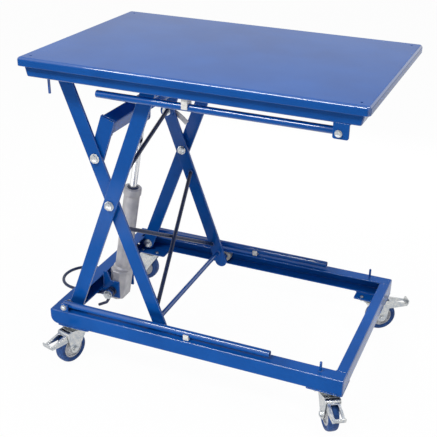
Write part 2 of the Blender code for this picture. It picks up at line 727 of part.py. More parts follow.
# Scissor legs
def guide_roller(side, centre):
    half = ROLLER_WIDTH / 2
    bore = ROLLER_PIN_RADIUS + RUNNING
    chamfer = ROLLER_WIDTH / 12
    profile = [(bore, half), (ROLLER_RADIUS - chamfer, half), (ROLLER_RADIUS, half - chamfer),
               (ROLLER_RADIUS, chamfer - half), (ROLLER_RADIUS - chamfer, -half), (bore, -half)]
    middle = side * (roller_near + half)
    return turned(profile, (centre[0], middle, centre[1]), (0, 1, 0))


def roller_pin(side, centre, leg_far):
    return cross_rod(centre, side * (leg_far - LEG_THICKNESS / 2), side * roller_far, ROLLER_PIN_RADIUS)


def outer_leg(side):
    loops = [bar_outline(base_pivot, upper_roller, LEG_WIDTH), circle(base_pivot, PIVOT_RADIUS + RUNNING),
             circle(centre_pivot, CENTRE_BOLT_RADIUS + RUNNING)]
    leg = plate(loops, "y", side * outer_leg_near, side * outer_leg_far)
    return join(leg, roller_pin(side, upper_roller, outer_leg_far))


def inner_leg(side):
    loops = [bar_outline(table_pivot, lower_roller, LEG_WIDTH), circle(table_pivot, PIVOT_RADIUS + RUNNING),
             circle(centre_pivot, CENTRE_BOLT_RADIUS + RUNNING), circle(arm_bolt, ARM_BOLT_RADIUS + RUNNING)]
    leg = plate(loops, "y", side * inner_leg_near, side * inner_leg_far)
    return join(leg, roller_pin(side, lower_roller, inner_leg_far))


def centre_bolt(side):
    """Head, shank, the spacer that holds the legs apart, and nut."""
    start = inner_leg_near - RUNNING - CENTRE_HEAD_LENGTH
    end = outer_leg_far + RUNNING + CENTRE_HEAD_LENGTH
    shank = cross_rod(centre_pivot, side * (start + RUNNING), side * (end - RUNNING), CENTRE_BOLT_RADIUS)
    head = cross_rod(centre_pivot, side * end, side * (end - CENTRE_HEAD_LENGTH), CENTRE_HEAD_RADIUS, 6)
    nut = cross_rod(centre_pivot, side * start, side * (start + CENTRE_HEAD_LENGTH), CENTRE_HEAD_RADIUS, 6)
    spacer = cross_rod(centre_pivot, side * (inner_leg_far + RUNNING), side * (outer_leg_near - RUNNING),
                       CENTRE_SPACER_RADIUS)
    return join(shank, head, nut, spacer)


def inner_point(along, offset, across):
    """A point of the inner frame: along the leg from its upper pivot, off its plane, and across."""
    place = table_pivot + inner_axis * along + inner_normal * offset
    return (place.x, across, place.y)


def add_inner_braces():
    reach = inner_leg_near - GAP
    bar_low = LEG_LENGTH - CROSSBAR_SETBACK
    brace_low = LEG_LENGTH - BRACE_SETBACK
    add_piece("inner_crossbar", rod(inner_point(bar_low, 0.0, -reach), inner_point(bar_low, 0.0, reach),
                                    CROSSBAR_RADIUS), inner_frame, "blue_paint")
    for name, front, rear, offset in (
            ("cross_brace_a", brace_low, BRACE_HIGH, BRACE_OFFSET),
            ("cross_brace_b", BRACE_HIGH, brace_low, -BRACE_OFFSET),
            ("upper_brace", UPPER_BRACE_FRONT, UPPER_BRACE_REAR, UPPER_BRACE_OFFSET)):
        slant = BRACE_RADIUS * abs(front - rear) / (2 * reach)
        rear_edge = reach
        if name == "upper_brace":
            rear_edge = arm_near - GAP
        bar = rod(inner_point(front, offset, slant - reach), inner_point(rear, offset, rear_edge - slant),
                  BRACE_RADIUS, PIN_SIDES)
        add_piece(name, bar, inner_frame, "blue_paint")


# Lift arms and crossbeam
def lift_arm(side):
    """A flat arm, round at its bolt and square at the crossbeam, with the bolt that holds it to the leg."""
    across = Vector((-arm_axis.y, arm_axis.x)) * (ARM_WIDTH / 2)
    square_end = arm_bolt + arm_axis * ARM_LENGTH
    angle = math.atan2(across.y, across.x)
    round_end = arc(arm_bolt, ARM_WIDTH / 2, angle, angle + math.pi)
    outline = round_end + [square_end - across, square_end + across]
    arm = plate([outline], "y", side * arm_near, side * arm_far)
    head_far = inner_leg_far + RUNNING + ARM_HEAD_LENGTH
    shank_start = arm_far - ARM_THICKNESS / 2
    shank = cross_rod(arm_bolt, side * shank_start, side * (head_far - RUNNING), ARM_BOLT_RADIUS)
    head = cross_rod(arm_bolt, side * (head_far - ARM_HEAD_LENGTH), side * head_far, ARM_HEAD_RADIUS, 6)
    nut = cross_rod(arm_bolt, side * (arm_near - ARM_HEAD_LENGTH), side * (arm_near + ARM_THICKNESS / 4),
                    ARM_HEAD_RADIUS, 6)
    return join(arm, shank, head, nut)


def crossbeam():
    """A square tube between the arms, with two lugs for the piston rod."""
    half = BEAM_SIZE / 2
    across = Vector((-arm_axis.y, arm_axis.x))
    corners = [(-1, -1), (1, -1), (1, 1), (-1, 1)]
    outside = [beam_middle + arm_axis * (half * a) + across * (half * b) for a, b in corners]
    bore = half - BEAM_WALL
    inside = [beam_middle + arm_axis * (bore * a) + across * (bore * b) for a, b in corners]
    beam = plate([outside, inside], "y", GAP - arm_near, arm_near - GAP)
    lug_near = ROD_EYE_WIDTH / 2 + EYE_TO_LUG
    root = [beam_middle + arm_axis * (BEAM_WALL / 2 - half) + across * (b * bore) for b in (-1, 1)]
    lug = hull([tuple(point) for point in root] + circle(rod_pin, BEAM_LUG_RADIUS))
    lugs = []
    for side in SIDES.values():
        lugs.append(plate([lug], "y", side * lug_near, side * (lug_near + BEAM_LUG_THICKNESS)))
        lugs.append(cross_rod(rod_pin, side * (lug_near + BEAM_LUG_THICKNESS / 2),
                              side * (lug_near + 2 * BEAM_LUG_THICKNESS), PUMP_PIN_RADIUS))
    return join(beam, *lugs)


# Pump cylinder
def on_pump(distance, across=0.0):
    place = pump_pivot + pump_axis * distance
    return (place.x, across, place.y)


def pump_cylinder():
    """A cast eight-sided foot on the pivot pin, with the barrel, its bore and the gland collar above."""
    chamfer = FOOT_CHAMFER
    half_x = FOOT_HALF_LENGTH
    half_y = FOOT_HALF_WIDTH
    outline = [(half_x, half_y - chamfer), (half_x - chamfer, half_y), (chamfer - half_x, half_y),
               (-half_x, half_y - chamfer), (-half_x, chamfer - half_y), (chamfer - half_x, -half_y),
               (half_x - chamfer, -half_y), (half_x, chamfer - half_y)]
    foot = plate([outline], "z", -FOOT_BELOW, FOOT_ABOVE)
    turn = Vector((pump_axis.x, 0.0, pump_axis.y)).to_track_quat("Z", "Y").to_matrix().to_4x4()
    lean = math.atan2(pump_axis.x, pump_axis.y)
    foot.transform(Matrix.Translation(side_place(pump_pivot)) @ Matrix.Rotation(lean, 4, "Y"))
    gland = BARREL_TOP - COLLAR_HEIGHT
    rod_hole = ROD_RADIUS + RUNNING
    profile = [(0.0, BORE_FLOOR), (BORE_RADIUS, BORE_FLOOR), (BORE_RADIUS, gland), (rod_hole, gland),
               (rod_hole, BARREL_TOP), (COLLAR_RADIUS, BARREL_TOP), (COLLAR_RADIUS, gland),
               (BARREL_RADIUS, gland), (BARREL_RADIUS, FOOT_ABOVE / 2), (0.0, FOOT_ABOVE / 2)]
    barrel = turned(profile, (0, 0, 0), (0, 0, 1))
    barrel.transform(Matrix.Translation(side_place(pump_pivot)) @ turn)
    bore = cross_rod(pump_pivot, -cheek_far, cheek_far, PUMP_PIN_RADIUS + RUNNING)
    return cut(join(foot, barrel), bore)


def piston_rod():
    """A piston inside the barrel, the rod, and the eye that pushes the crossbeam."""
    low = BARREL_TOP - ROD_ENGAGED
    shaft = rod(on_pump(low), on_pump(pump_reach), ROD_RADIUS)
    piston = rod(on_pump(low - PISTON_LENGTH), on_pump(low + GAP), BORE_RADIUS - RUNNING)
    eye = cross_rod(rod_pin, -ROD_EYE_WIDTH / 2, ROD_EYE_WIDTH / 2, ROD_EYE_RADIUS)
    return join(shaft, piston, eye)


def foot_pedal():
    """A round bar loop under the left cross-member, with an eye on each end of the pivot pin."""
    reach = pedal_bar_middle
    level = base_low - PEDAL_BELOW_RAIL
    wide = PEDAL_HALF_WIDTH
    bend = pedal_left + wide
    route = [(pump_x - PEDAL_EYE_RADIUS / 2, -reach, pump_pivot.y),
             (base_left + LEFT_CROSS_WIDTH, -reach, level), (base_left, -wide, level)]
    arms = len(route)
    bow = arc((bend, 0.0), wide, -math.pi / 2, -3 * math.pi / 2, 2 * ARC_STEPS)
    route += [(x, y, level) for x, y in bow]
    route += [(x, -y, z) for x, y, z in reversed(route[:arms])]
    loop = bent_bar(route, PEDAL_BAR_RADIUS)
    half_eye = LEVER_EYE_THICKNESS / 2
    eyes = [cross_rod(pump_pivot, side * (reach - half_eye), side * (reach + half_eye), PEDAL_EYE_RADIUS)
            for side in SIDES.values()]
    bore = cross_rod(pump_pivot, -2 * reach, 2 * reach, PUMP_PIN_RADIUS + RUNNING)
    return cut(join(loop, *eyes), bore)


def release_lever():
    """A bent lever on the front end of the pivot pin."""
    across = -release_bar_middle
    knee = (pump_x - RELEASE_KNEE_REACH, across, pump_pivot.y - RELEASE_KNEE_DROP)
    tip = (pump_x - RELEASE_REACH, across, pump_pivot.y - RELEASE_DROP)
    bar = bent_bar([(pump_x, across, pump_pivot.y - PUMP_PIN_RADIUS - RUNNING - RELEASE_BAR_RADIUS),
                    knee, tip],
                   RELEASE_BAR_RADIUS)
    half_eye = LEVER_EYE_THICKNESS / 2
    eye = cross_rod(pump_pivot, across - half_eye, across + half_eye, PEDAL_EYE_RADIUS)
    bore = cross_rod(pump_pivot, across - PEDAL_EYE_RADIUS, across + PEDAL_EYE_RADIUS,
                     PUMP_PIN_RADIUS + RUNNING)
    return cut(join(eye, bar), bore)


# Platform
def pan_block(inset, low):
    """The pan's outer form, or the hollow below it, set in by a distance. Its edges are round."""
    half_x = TABLE_LENGTH / 2 - inset
    half_y = TABLE_WIDTH / 2 - inset
    top = table_height - inset
    radius = PAN_CORNER_RADIUS - inset
    corners = []
    for x, y, start in ((1, 1, 0.0), (-1, 1, 0.5), (-1, -1, 1.0), (1, -1, 1.5)):
        corners += arc((x * (half_x - radius), y * (half_y - radius)), radius, start * math.pi,
                       (start + 0.5) * math.pi, ARC_STEPS // 2)
    block = plate([corners], "z", low, top)
    bmesh.ops.dissolve_limit(block, angle_limit=FLAT_ANGLE, verts=block.verts, edges=block.edges)
    top_edges = [edge for edge in block.edges if all(v.co.z > top - GAP for v in edge.verts)]
    bmesh.ops.bevel(block, geom=top_edges, offset=LIP_EDGE_RADIUS - inset, segments=LIP_EDGE_STEPS,
                    profile=0.5, affect="EDGES", clamp_overlap=False)
    return block


def platform_pan():
    """A folded sheet tray, open below, with rounded edges and four small holes."""
    low = table_height - LIP_HEIGHT
    slab = pan_block(0.0, low)
    tray = pan_block(SHEET, low - SHEET)
    hole_x = TABLE_LENGTH / 2 - TOP_HOLE_INSET
    hole_y = TABLE_WIDTH / 2 - TOP_HOLE_INSET
    holes = [rod((x * hole_x, y * hole_y, sheet_low - SHEET), (x * hole_x, y * hole_y, table_height + SHEET),
                 TOP_HOLE_RADIUS, PIN_SIDES) for x in (-1, 1) for y in (-1, 1)]
    return cut(slab, tray, *holes)


def table_rail_view(wall):
    """The table rail's side view, set in by a wall. Its ends lean inwards going down."""
    low = table_rail_low + wall
    high = table_rail_high - wall
    share = wall / RAIL_HEIGHT
    end_high = table_end_top - TABLE_END_LEAN * share - wall
    end_low = table_end_low + TABLE_END_LEAN * share - wall
    return [(end_high, high), (-end_high, high), (-end_low, low), (end_low, low)]


def table_end(end_side):
    """The channel across one end of the table's frame, which leans as the rails' ends do."""
    channel = cross_member(end_side * table_end_top, TABLE_END_WIDTH, table_rail_low, table_rail_high)
    lean = Matrix.Identity(4)
    lean[0][2] = end_side * TABLE_END_LEAN / RAIL_HEIGHT
    lean[0][3] = -lean[0][2] * table_rail_high
    channel.transform(lean)
    return channel


def table_rail(side):
    rail = closed_rail(side, table_rail_view(0.0), table_rail_view(RAIL_WALL))
    pin_top = table_rail_low + RAIL_WALL / 2
    pin = rod((strut_left, side * rail_middle, table_rail_low - HANGING_PIN_LENGTH),
              (strut_left, side * rail_middle, pin_top), PIN_RADIUS, PIN_SIDES)
    lug_place = (strut_right, table_strut_z)
    lug_low = table_strut_z - LUG_MARGIN
    lug = rectangle(strut_right - TABLE_LUG_WIDTH / 2, lug_low, strut_right + TABLE_LUG_WIDTH / 2, pin_top)
    lug_plate = plate([lug], "y", side * rail_outer, side * (rail_outer - LUG_THICKNESS))
    return join(rail, pin, lug_plate, *strut_bolt(side, lug_place, rail_outer),
                *pivot_stud(side, table_pivot, inner_leg_near))


# Support struts
def support_strut(side, hinge_x, strut_z, length):
    """A tube with a cross hole for its bolt and an open bore at its free end. It runs towards the middle,
    and its tail is short enough to turn past the rail."""
    toward = -1 if hinge_x > 0 else 1
    swing = STRUT_RADIUS + STRUT_OVER_RAIL - STRUT_TAIL_CLEARANCE
    tail = math.sqrt(swing ** 2 - STRUT_RADIUS ** 2)
    middle = side * rail_middle
    tube = rod((hinge_x - toward * tail, middle, strut_z), (hinge_x + toward * length, middle, strut_z),
               STRUT_RADIUS)
    bore = rod((hinge_x + toward * (length - STRUT_BORE_DEPTH), middle, strut_z),
               (hinge_x + toward * (length + STRUT_RADIUS), middle, strut_z), STRUT_BORE_RADIUS)
    cross_hole = cross_rod((hinge_x, strut_z), middle - 2 * STRUT_RADIUS, middle + 2 * STRUT_RADIUS,
                           STRUT_BOLT_RADIUS + RUNNING, PIN_SIDES)
    return cut(tube, bore, cross_hole)


# The whole object
def centre_on_footprint(root):
    """Moves the whole object so that the middle of its footprint is at the origin."""
    bpy.context.view_layer.update()
    low = [math.inf, math.inf]
    high = [-math.inf, -math.inf]
    for obj in parts.objects:
        if obj.type != "MESH":
            continue
        for vertex in obj.data.vertices:
            place = obj.matrix_world @ vertex.co
            for i in range(2):
                low[i] = min(low[i], place[i])
                high[i] = max(high[i], place[i])
    root.location = (-(low[0] + high[0]) / 2, -(low[1] + high[1]) / 2, 0.0)
    bpy.context.view_layer.update()
    print("footprint shift", tuple(round(value, 6) for value in root.location))


def side_place(point, across=0.0):
    return (point[0], across, point[1])


clear_scene()
parts = bpy.data.collections.new("scissor_lift_table")
helpers = bpy.data.collections.new("cutters")
bpy.context.scene.collection.children.link(parts)
bpy.context.scene.collection.children.link(helpers)
finishes = {name: make_finish(name) for name in FINISHES}

base = make_body("base")
outer_frame = make_body("outer_frame", side_place(base_pivot), base)
inner_frame = make_body("inner_frame", side_place(centre_pivot), outer_frame)
table = make_body("table", side_place(table_pivot), inner_frame)
pump = make_body("pump", side_place(pump_pivot), base)
piston = make_body("piston", side_place(rod_pin), pump)
pedal = make_body("pedal", side_place(pump_pivot), base)
release = make_body("release", side_place(pump_pivot), base)

add_piece("base_cross_left", left_cross_member(), base, "blue_paint")
right_channel = cross_member(base_right, RIGHT_CROSS_WIDTH, base_low, base_high)
add_piece("base_cross_right", right_channel, base, "blue_paint")
add_piece("pump_bracket", pump_bracket(), base, "blue_paint")
add_piece("platform_pan", platform_pan(), table, "blue_paint")
for end, end_side in (("left", -1), ("right", 1)):
    add_piece("table_end_" + end, table_end(end_side), table, "blue_paint")

for end, side in SIDES.items():
    add_piece("base_rail_" + end, base_rail(side), base, "blue_paint")
    add_piece("base_clip_" + end, strut_clip(side, base_strut_z, base_high), base, "white_plastic")
    add_piece("table_rail_" + end, table_rail(side), table, "blue_paint")
    add_piece("table_clip_" + end, strut_clip(side, table_strut_z, table_rail_low), table, "white_plastic")
    add_piece("outer_leg_" + end, outer_leg(side), outer_frame, "blue_paint")
    add_piece("inner_leg_" + end, inner_leg(side), inner_frame, "blue_paint")
    add_piece("centre_bolt_" + end, centre_bolt(side), outer_frame, "zinc")
    add_piece("lift_arm_" + end, lift_arm(side), inner_frame, "blue_paint")
    for level, centre, carrier in (("upper", upper_roller, outer_frame),
                                   ("lower", lower_roller, inner_frame)):
        name = level + "_roller_" + end
        roller_body = make_body("body_" + name, side_place(centre, side * rail_middle), carrier)
        add_piece(name, guide_roller(side, centre), roller_body, "cream_roller")
    for level, hinge_x, strut_z, length, carrier in (
            ("base", strut_left, base_strut_z, base_strut_length, base),
            ("table", strut_right, table_strut_z, table_strut_length, table)):
        name = level + "_strut_" + end
        strut_body = make_body("body_" + name, (hinge_x, side * rail_middle, strut_z), carrier)
        add_piece(name, support_strut(side, hinge_x, strut_z, length), strut_body, "blue_paint")

tie_place = base_pivot + leg_axis * (LEG_LENGTH - TIE_BAR_SETBACK)
add_piece("outer_tie_bar", cross_rod(tie_place, GAP - outer_leg_near, outer_leg_near - GAP, TIE_BAR_RADIUS),
          outer_frame, "blue_paint")
add_inner_braces()
add_piece("lift_crossbeam", crossbeam(), inner_frame, "blue_paint")
add_piece("pump_cylinder", pump_cylinder(), pump, "grey_casting")
add_piece("piston_rod", piston_rod(), piston, "chrome_rod")
add_piece("foot_pedal", foot_pedal(), pedal, "dark_bar")
add_piece("release_lever", release_lever(), release, "dark_bar")

caster_left = base_left + CASTER_LEFT_INSET
caster_right = base_right - CASTER_RIGHT_INSET
caster_side = rail_outer - CORNER_PLATE_WIDTH / 2
for end, side in SIDES.items():
    add_caster(end + "_left", (caster_left, side * caster_side))
    add_caster(end + "_right", (caster_right, side * caster_side))

centre_on_footprint(base)
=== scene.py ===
# %% [markdown]
# A scissor lift table, dressed for its picture
#
# The table stands on four braked casters. Two pairs of crossed legs carry a sheet steel platform, and a
# foot pump with a cylinder lifts it. The construction is already done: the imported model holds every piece
# at its real size. This lesson gives each piece its finish, rounds what the model keeps plain, and adds
# the small things that a maker would bolt or weld on.

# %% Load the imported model
import json
import math
import bmesh
import bpy
from mathutils import Matrix, Vector
from mathutils.geometry import convex_hull_2d


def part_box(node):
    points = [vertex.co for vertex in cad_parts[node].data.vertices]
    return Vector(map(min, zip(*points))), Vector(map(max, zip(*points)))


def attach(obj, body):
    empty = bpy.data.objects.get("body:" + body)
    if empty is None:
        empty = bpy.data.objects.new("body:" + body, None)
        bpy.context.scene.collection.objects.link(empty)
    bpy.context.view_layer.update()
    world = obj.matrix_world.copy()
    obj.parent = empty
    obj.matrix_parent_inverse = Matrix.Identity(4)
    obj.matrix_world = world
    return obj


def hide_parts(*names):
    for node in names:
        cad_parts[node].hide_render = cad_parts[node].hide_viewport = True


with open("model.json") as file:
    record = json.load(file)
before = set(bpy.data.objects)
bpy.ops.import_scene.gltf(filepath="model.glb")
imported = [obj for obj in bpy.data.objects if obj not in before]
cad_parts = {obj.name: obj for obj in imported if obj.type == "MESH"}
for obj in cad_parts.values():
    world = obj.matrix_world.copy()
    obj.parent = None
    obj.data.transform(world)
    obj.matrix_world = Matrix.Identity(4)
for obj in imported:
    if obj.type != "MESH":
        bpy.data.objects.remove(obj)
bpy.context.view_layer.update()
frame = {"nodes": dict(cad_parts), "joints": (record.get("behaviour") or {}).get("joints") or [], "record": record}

nodes = frame["nodes"]

# %% [markdown]
# The camera
#
# A picture and a model only compare well when both are seen from the same place. The camera stands to the
# right of the table's front, a little above the platform, with a long lens that hardly narrows the far
# side. It could be set by eye, but here its place was worked out from the corners of the platform and the
# base. It is measured from the middle of the platform, so it follows the model if that is built again.

# %% Set the camera
PHOTO_SIZE = 437
PHOTO_MIDDLE = PHOTO_SIZE / 2
LENS_PIXELS = 834.4762
OPTICAL_CENTRE = (240.1346, 245.7439)
CAMERA_AZIMUTH = math.radians(20.8364)
CAMERA_ELEVATION = math.radians(27.7430)
CAMERA_ROLL = math.radians(1.5927)
CAMERA_FROM_MIDDLE = Vector((0.807, -2.0013, 0.5614))
SENSOR_WIDTH = 36.0

scene = bpy.context.scene
pan_low, pan_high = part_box("platform_pan")
table_middle = Vector(((pan_low.x + pan_high.x) / 2, (pan_low.y + pan_high.y) / 2, pan_high.z))


def camera_turn(azimuth, elevation, roll):
    """The rotation of a camera that looks down at the table from an azimuth, tilted by roll."""
    back = Vector((math.sin(azimuth) * math.cos(elevation), -math.cos(azimuth) * math.cos(elevation),
                   math.sin(elevation)))
    right = Vector((math.cos(azimuth), math.sin(azimuth), 0.0))
    up = back.cross(right)
    tilted_right = right * math.cos(roll) + up * math.sin(roll)
    tilted_up = up * math.cos(roll) - right * math.sin(roll)
    return Matrix((tilted_right, tilted_up, back)).transposed()


def placed(name, data):
    """A new object in the scene."""
    obj = bpy.data.objects.new(name, data)
    scene.collection.objects.link(obj)
    return obj


camera_data = bpy.data.cameras.new("photo_camera")
camera_data.sensor_width = SENSOR_WIDTH
camera_data.lens = LENS_PIXELS / PHOTO_SIZE * SENSOR_WIDTH
camera_data.shift_x = (PHOTO_MIDDLE - OPTICAL_CENTRE[0]) / PHOTO_SIZE
camera_data.shift_y = (OPTICAL_CENTRE[1] - PHOTO_MIDDLE) / PHOTO_SIZE
camera = placed("photo_camera", camera_data)
camera_rotation = camera_turn(CAMERA_AZIMUTH, CAMERA_ELEVATION, CAMERA_ROLL)
camera.matrix_world = Matrix.Translation(table_middle + CAMERA_FROM_MIDDLE) @ camera_rotation.to_4x4()
scene.camera = camera
print("camera at", tuple(round(v, 3) for v in camera.location), "lens", round(camera_data.lens, 1), "mm")

# %% [markdown]
# A white world
#
# Gloss paint is only as good as what it mirrors. The platform is seen at a low angle, so it mirrors some of
# the white studio and looks paler than the steep sides. The world is white for the camera and for mirrors,
# and dimmer where it lights dull surfaces. That takes a few shader nodes. A helper makes each node in one
# line, and links its inputs or sets them.

# %% Write the node helpers
def feed(tree, value, socket):
    """Links a value to a node's socket, or sets it there if it is a plain one."""
    if isinstance(value, bpy.types.NodeSocket):
        tree.links.new(value, socket)
    else:
        socket.default_value = value


def chain(tree, kind, choice=None, **inputs):
    """A new node. Its operation or mode is chosen first, as some inputs depend on it."""
    node = tree.nodes.new(kind)
    if choice:
        setattr(node, "operation" if hasattr(node, "operation") else "mode", choice)
    for label, value in inputs.items():
        feed(tree, value, node.inputs[label.replace("_", " ")])
    return node


def calculated(tree, operation, first, second):
    """A value worked out from two others."""
    node = chain(tree, "ShaderNodeMath", operation)
    feed(tree, first, node.inputs[0])
    feed(tree, second, node.inputs[1])
    return node.outputs[0]


def mixed(tree, share, first, second):
    """A shader that is the first where the share is nothing and the second where it is one."""
    node = chain(tree, "ShaderNodeMixShader")
    for value, socket in zip((share, first.outputs[0], second.outputs[0]), node.inputs):
        tree.links.new(value, socket)
    return node.outputs[0]


print("nodes can be chained, calculated and mixed")

# %% [markdown]
# A Light Path node tells rays that are seen, straight or in a mirror, from rays that only bring light. The
# world has one background for each, and mixes them by that. A picture of a studio could light the table
# too, but two plain backgrounds need no file.

# %% Make the world
WHITE = (1.0, 1.0, 1.0, 1.0)
WORLD_DIFFUSE = 0.24

scene.view_settings.view_transform = "Standard"


def ray_is_seen(tree):
    """One where a ray comes from the camera, a mirror or glass, and nothing where it lights dull surfaces."""
    ray = chain(tree, "ShaderNodeLightPath").outputs
    seen = calculated(tree, "MAXIMUM", ray["Is Camera Ray"], ray["Is Glossy Ray"])
    return calculated(tree, "MAXIMUM", seen, ray["Is Transmission Ray"])


world = bpy.data.worlds.new("studio")
scene.world = world
world.use_nodes = True
sky = world.node_tree
sky.nodes.clear()
dim = chain(sky, "ShaderNodeBackground", Color=WHITE, Strength=WORLD_DIFFUSE)
white = chain(sky, "ShaderNodeBackground", Color=WHITE, Strength=1.0)
chain(sky, "ShaderNodeOutputWorld", Surface=mixed(sky, ray_is_seen(sky), dim, white))
print("the world lights dull surfaces with", WORLD_DIFFUSE, "of its white")

# %% [markdown]
# Lamps
#
# All four are area lamps, because a point or a sun draws hard shadows. A bright strip overhead lights the
# tops and draws thin light lines along rounded edges. A wide lamp in front throws the lip's shadow on the
# frame below it, and a low one stands for the light that a white floor throws back. A soft lamp behind
# keeps the back from going dark. It is left out of mirror images, because the platform's top would show it
# as a white patch.

# %% Hang the lamps
LAMPS = {
    "strip_lamp": {"place": (0.95, -0.10, 2.2), "size": (0.8, 0.12), "power": 23.0},
    "front_lamp": {"place": (-0.62, -1.70, 1.75), "size": (1.75, 0.40), "power": 44.0},
    "rear_lamp": {"place": (0.0, 1.90, 0.0), "size": (1.8, 0.6), "power": 26.0, "mirrored": False},
    "floor_bounce": {"place": (-0.1, -1.00, -0.85), "size": (1.8, 0.3), "power": 4.0},
}
LAMP_TARGET = Vector((0.0, 0.0, -0.45))

for name, setting in LAMPS.items():
    lamp_data = bpy.data.lights.new(name, "AREA")
    lamp_data.shape = "RECTANGLE"
    lamp_data.size, lamp_data.size_y = setting["size"]
    lamp_data.energy = setting["power"]
    lamp = placed(name, lamp_data)
    lamp.location = table_middle + Vector(setting["place"])
    lamp.rotation_euler = (Vector(setting["place"]) - LAMP_TARGET).to_track_quat("Z", "Y").to_euler()
    lamp.visible_camera = False
    lamp.visible_glossy = setting.get("mirrored", True)
print("hung", len(LAMPS), "lamps")

# %% [markdown]
# The floor
#
# The floor is a wide pale sheet just under the wheels. It glows a little less than white for the camera, so
# that the rest is a dull surface which can still hold the table's soft shadow.

# %% Lay the floor
FLOOR_SIZE = 30.0
FLOOR_DROP = 0.0005
FLOOR_COLOUR = (0.92, 0.92, 0.92, 1.0)
FLOOR_GLOW = 0.97


def mesh_of(shape, name="piece"):
    """A mesh from a bmesh, which is freed."""
    mesh = bpy.data.meshes.new(name)
    shape.to_mesh(mesh)
    shape.free()
    return mesh


floor_shape = bmesh.new()
bmesh.ops.create_grid(floor_shape, x_segments=1, y_segments=1, size=FLOOR_SIZE / 2)
floor = placed("floor", mesh_of(floor_shape, "floor"))
floor.location.z = -FLOOR_DROP

floor_finish = bpy.data.materials.new("pale_floor")
floor_finish.use_nodes = True
floor_tree = floor_finish.node_tree
floor_tree.nodes.clear()
dull = chain(floor_tree, "ShaderNodeBsdfDiffuse", Color=FLOOR_COLOUR)
glow = chain(floor_tree, "ShaderNodeEmission", Color=WHITE)
glow_share = calculated(floor_tree, "MULTIPLY", ray_is_seen(floor_tree), FLOOR_GLOW)
chain(floor_tree, "ShaderNodeOutputMaterial", Surface=mixed(floor_tree, glow_share, dull, glow))
floor.data.materials.append(floor_finish)
print("laid a floor of", FLOOR_SIZE, "m")

# %% [markdown]
# Finishes
#
# Every finish here is a small recipe: a colour that drifts a little from patch to patch, a roughness that
# drifts too, and a fine relief. Flat values look like plastic toys, because real coats are never even.
# Pictures of paint could be wrapped round the pieces instead, but noise needs no unwrapping and shows no
# seams. All patterns read Object coordinates in metres, so a scale of 900 means about one grain a
# millimetre.

# %% Write the recipes of the finishes
FINISHES = {
    "blue_paint": {"colours": ((0.0035, 0.078, 0.335), (0.0060, 0.096, 0.395)), "patch": 7.0,
                   "roughness": (0.10, 0.17), "grain": 700.0, "depth": 0.03, "specular": 0.10,
                   "edge_gloss": 1.0},
    "zinc": {"colours": ((0.40, 0.44, 0.49), (0.64, 0.64, 0.62)), "patch": 55.0, "roughness": (0.22, 0.42),
             "grain": 1500.0, "depth": 0.06, "metallic": 1.0, "spangle": 260.0},
    "grey_casting": {"colours": ((0.40, 0.395, 0.42), (0.54, 0.525, 0.535)), "patch": 34.0,
                     "roughness": (0.34, 0.52), "grain": 850.0, "depth": 0.22, "metallic": 0.35},
    "chrome_rod": {"colours": ((0.70, 0.71, 0.72), (0.82, 0.82, 0.82)), "patch": 40.0,
                   "roughness": (0.06, 0.14), "grain": 2400.0, "depth": 0.02, "metallic": 1.0,
                   "stretch": (1.0, 1.0, 0.06)},
    "dark_bar": {"colours": ((0.006, 0.016, 0.060), (0.014, 0.032, 0.100)), "patch": 60.0,
                 "roughness": (0.24, 0.42), "grain": 900.0, "depth": 0.10, "specular": 0.35},
    "white_plastic": {"colours": ((0.72, 0.71, 0.66), (0.82, 0.81, 0.78)), "patch": 120.0,
                      "roughness": (0.38, 0.52), "grain": 1600.0, "depth": 0.05},
    "cream_roller": {"colours": ((0.60, 0.55, 0.44), (0.72, 0.68, 0.57)), "patch": 90.0,
                     "roughness": (0.42, 0.58), "grain": 1400.0, "depth": 0.06},
    "blue_tyre": {"colours": ((0.010, 0.045, 0.170), (0.020, 0.080, 0.270)), "patch": 70.0,
                  "roughness": (0.44, 0.62), "grain": 1100.0, "depth": 0.12, "specular": 0.30},
    "grey_hub": {"colours": ((0.46, 0.47, 0.49), (0.58, 0.58, 0.59)), "patch": 80.0,
                 "roughness": (0.36, 0.50), "grain": 1300.0, "depth": 0.08},
}
print(len(FINISHES), "finishes in the book")

# %% [markdown]
# Patterns
#
# A noise texture gives the drift, and a Map Range stretches its middle over the range that is wanted. A
# rounded edge of gloss paint shows the studio as a bright line, so the blue coat is clearest on faces that
# look along no axis, which the largest part of the normal tells.

# %% Write the pattern helpers
EDGE_FACING = (0.86, 0.96)


def pattern(tree, scale, stretch, kind="ShaderNodeTexNoise"):
    """A noise or cell texture on the piece's own coordinates."""
    place = chain(tree, "ShaderNodeTexCoord").outputs["Object"]
    mapping = chain(tree, "ShaderNodeMapping", Vector=place, Scale=stretch)
    return chain(tree, kind, Vector=mapping.outputs["Vector"], Scale=scale)


def spread(tree, value, start, end, low, high):
    """A value whose range from start to end is stretched to run from low to high."""
    node = chain(tree, "ShaderNodeMapRange", Value=value, From_Min=start, From_Max=end, To_Min=low,
                 To_Max=high)
    return node.outputs["Result"]


def edge_share(tree, most):
    """Nothing on faces that look along an axis, rising to the most on the rounds between them."""
    normal = chain(tree, "ShaderNodeNewGeometry").outputs["Normal"]
    positive = chain(tree, "ShaderNodeVectorMath", "ABSOLUTE")
    tree.links.new(normal, positive.inputs[0])
    x, y, z = chain(tree, "ShaderNodeSeparateXYZ", Vector=positive.outputs["Vector"]).outputs
    largest = calculated(tree, "MAXIMUM", calculated(tree, "MAXIMUM", x, y), z)
    return spread(tree, largest, *EDGE_FACING, most, 0.0)


edge_lean = math.degrees(math.acos(EDGE_FACING[1]))
print("an edge starts where its normal leans", round(edge_lean), "degrees off an axis")

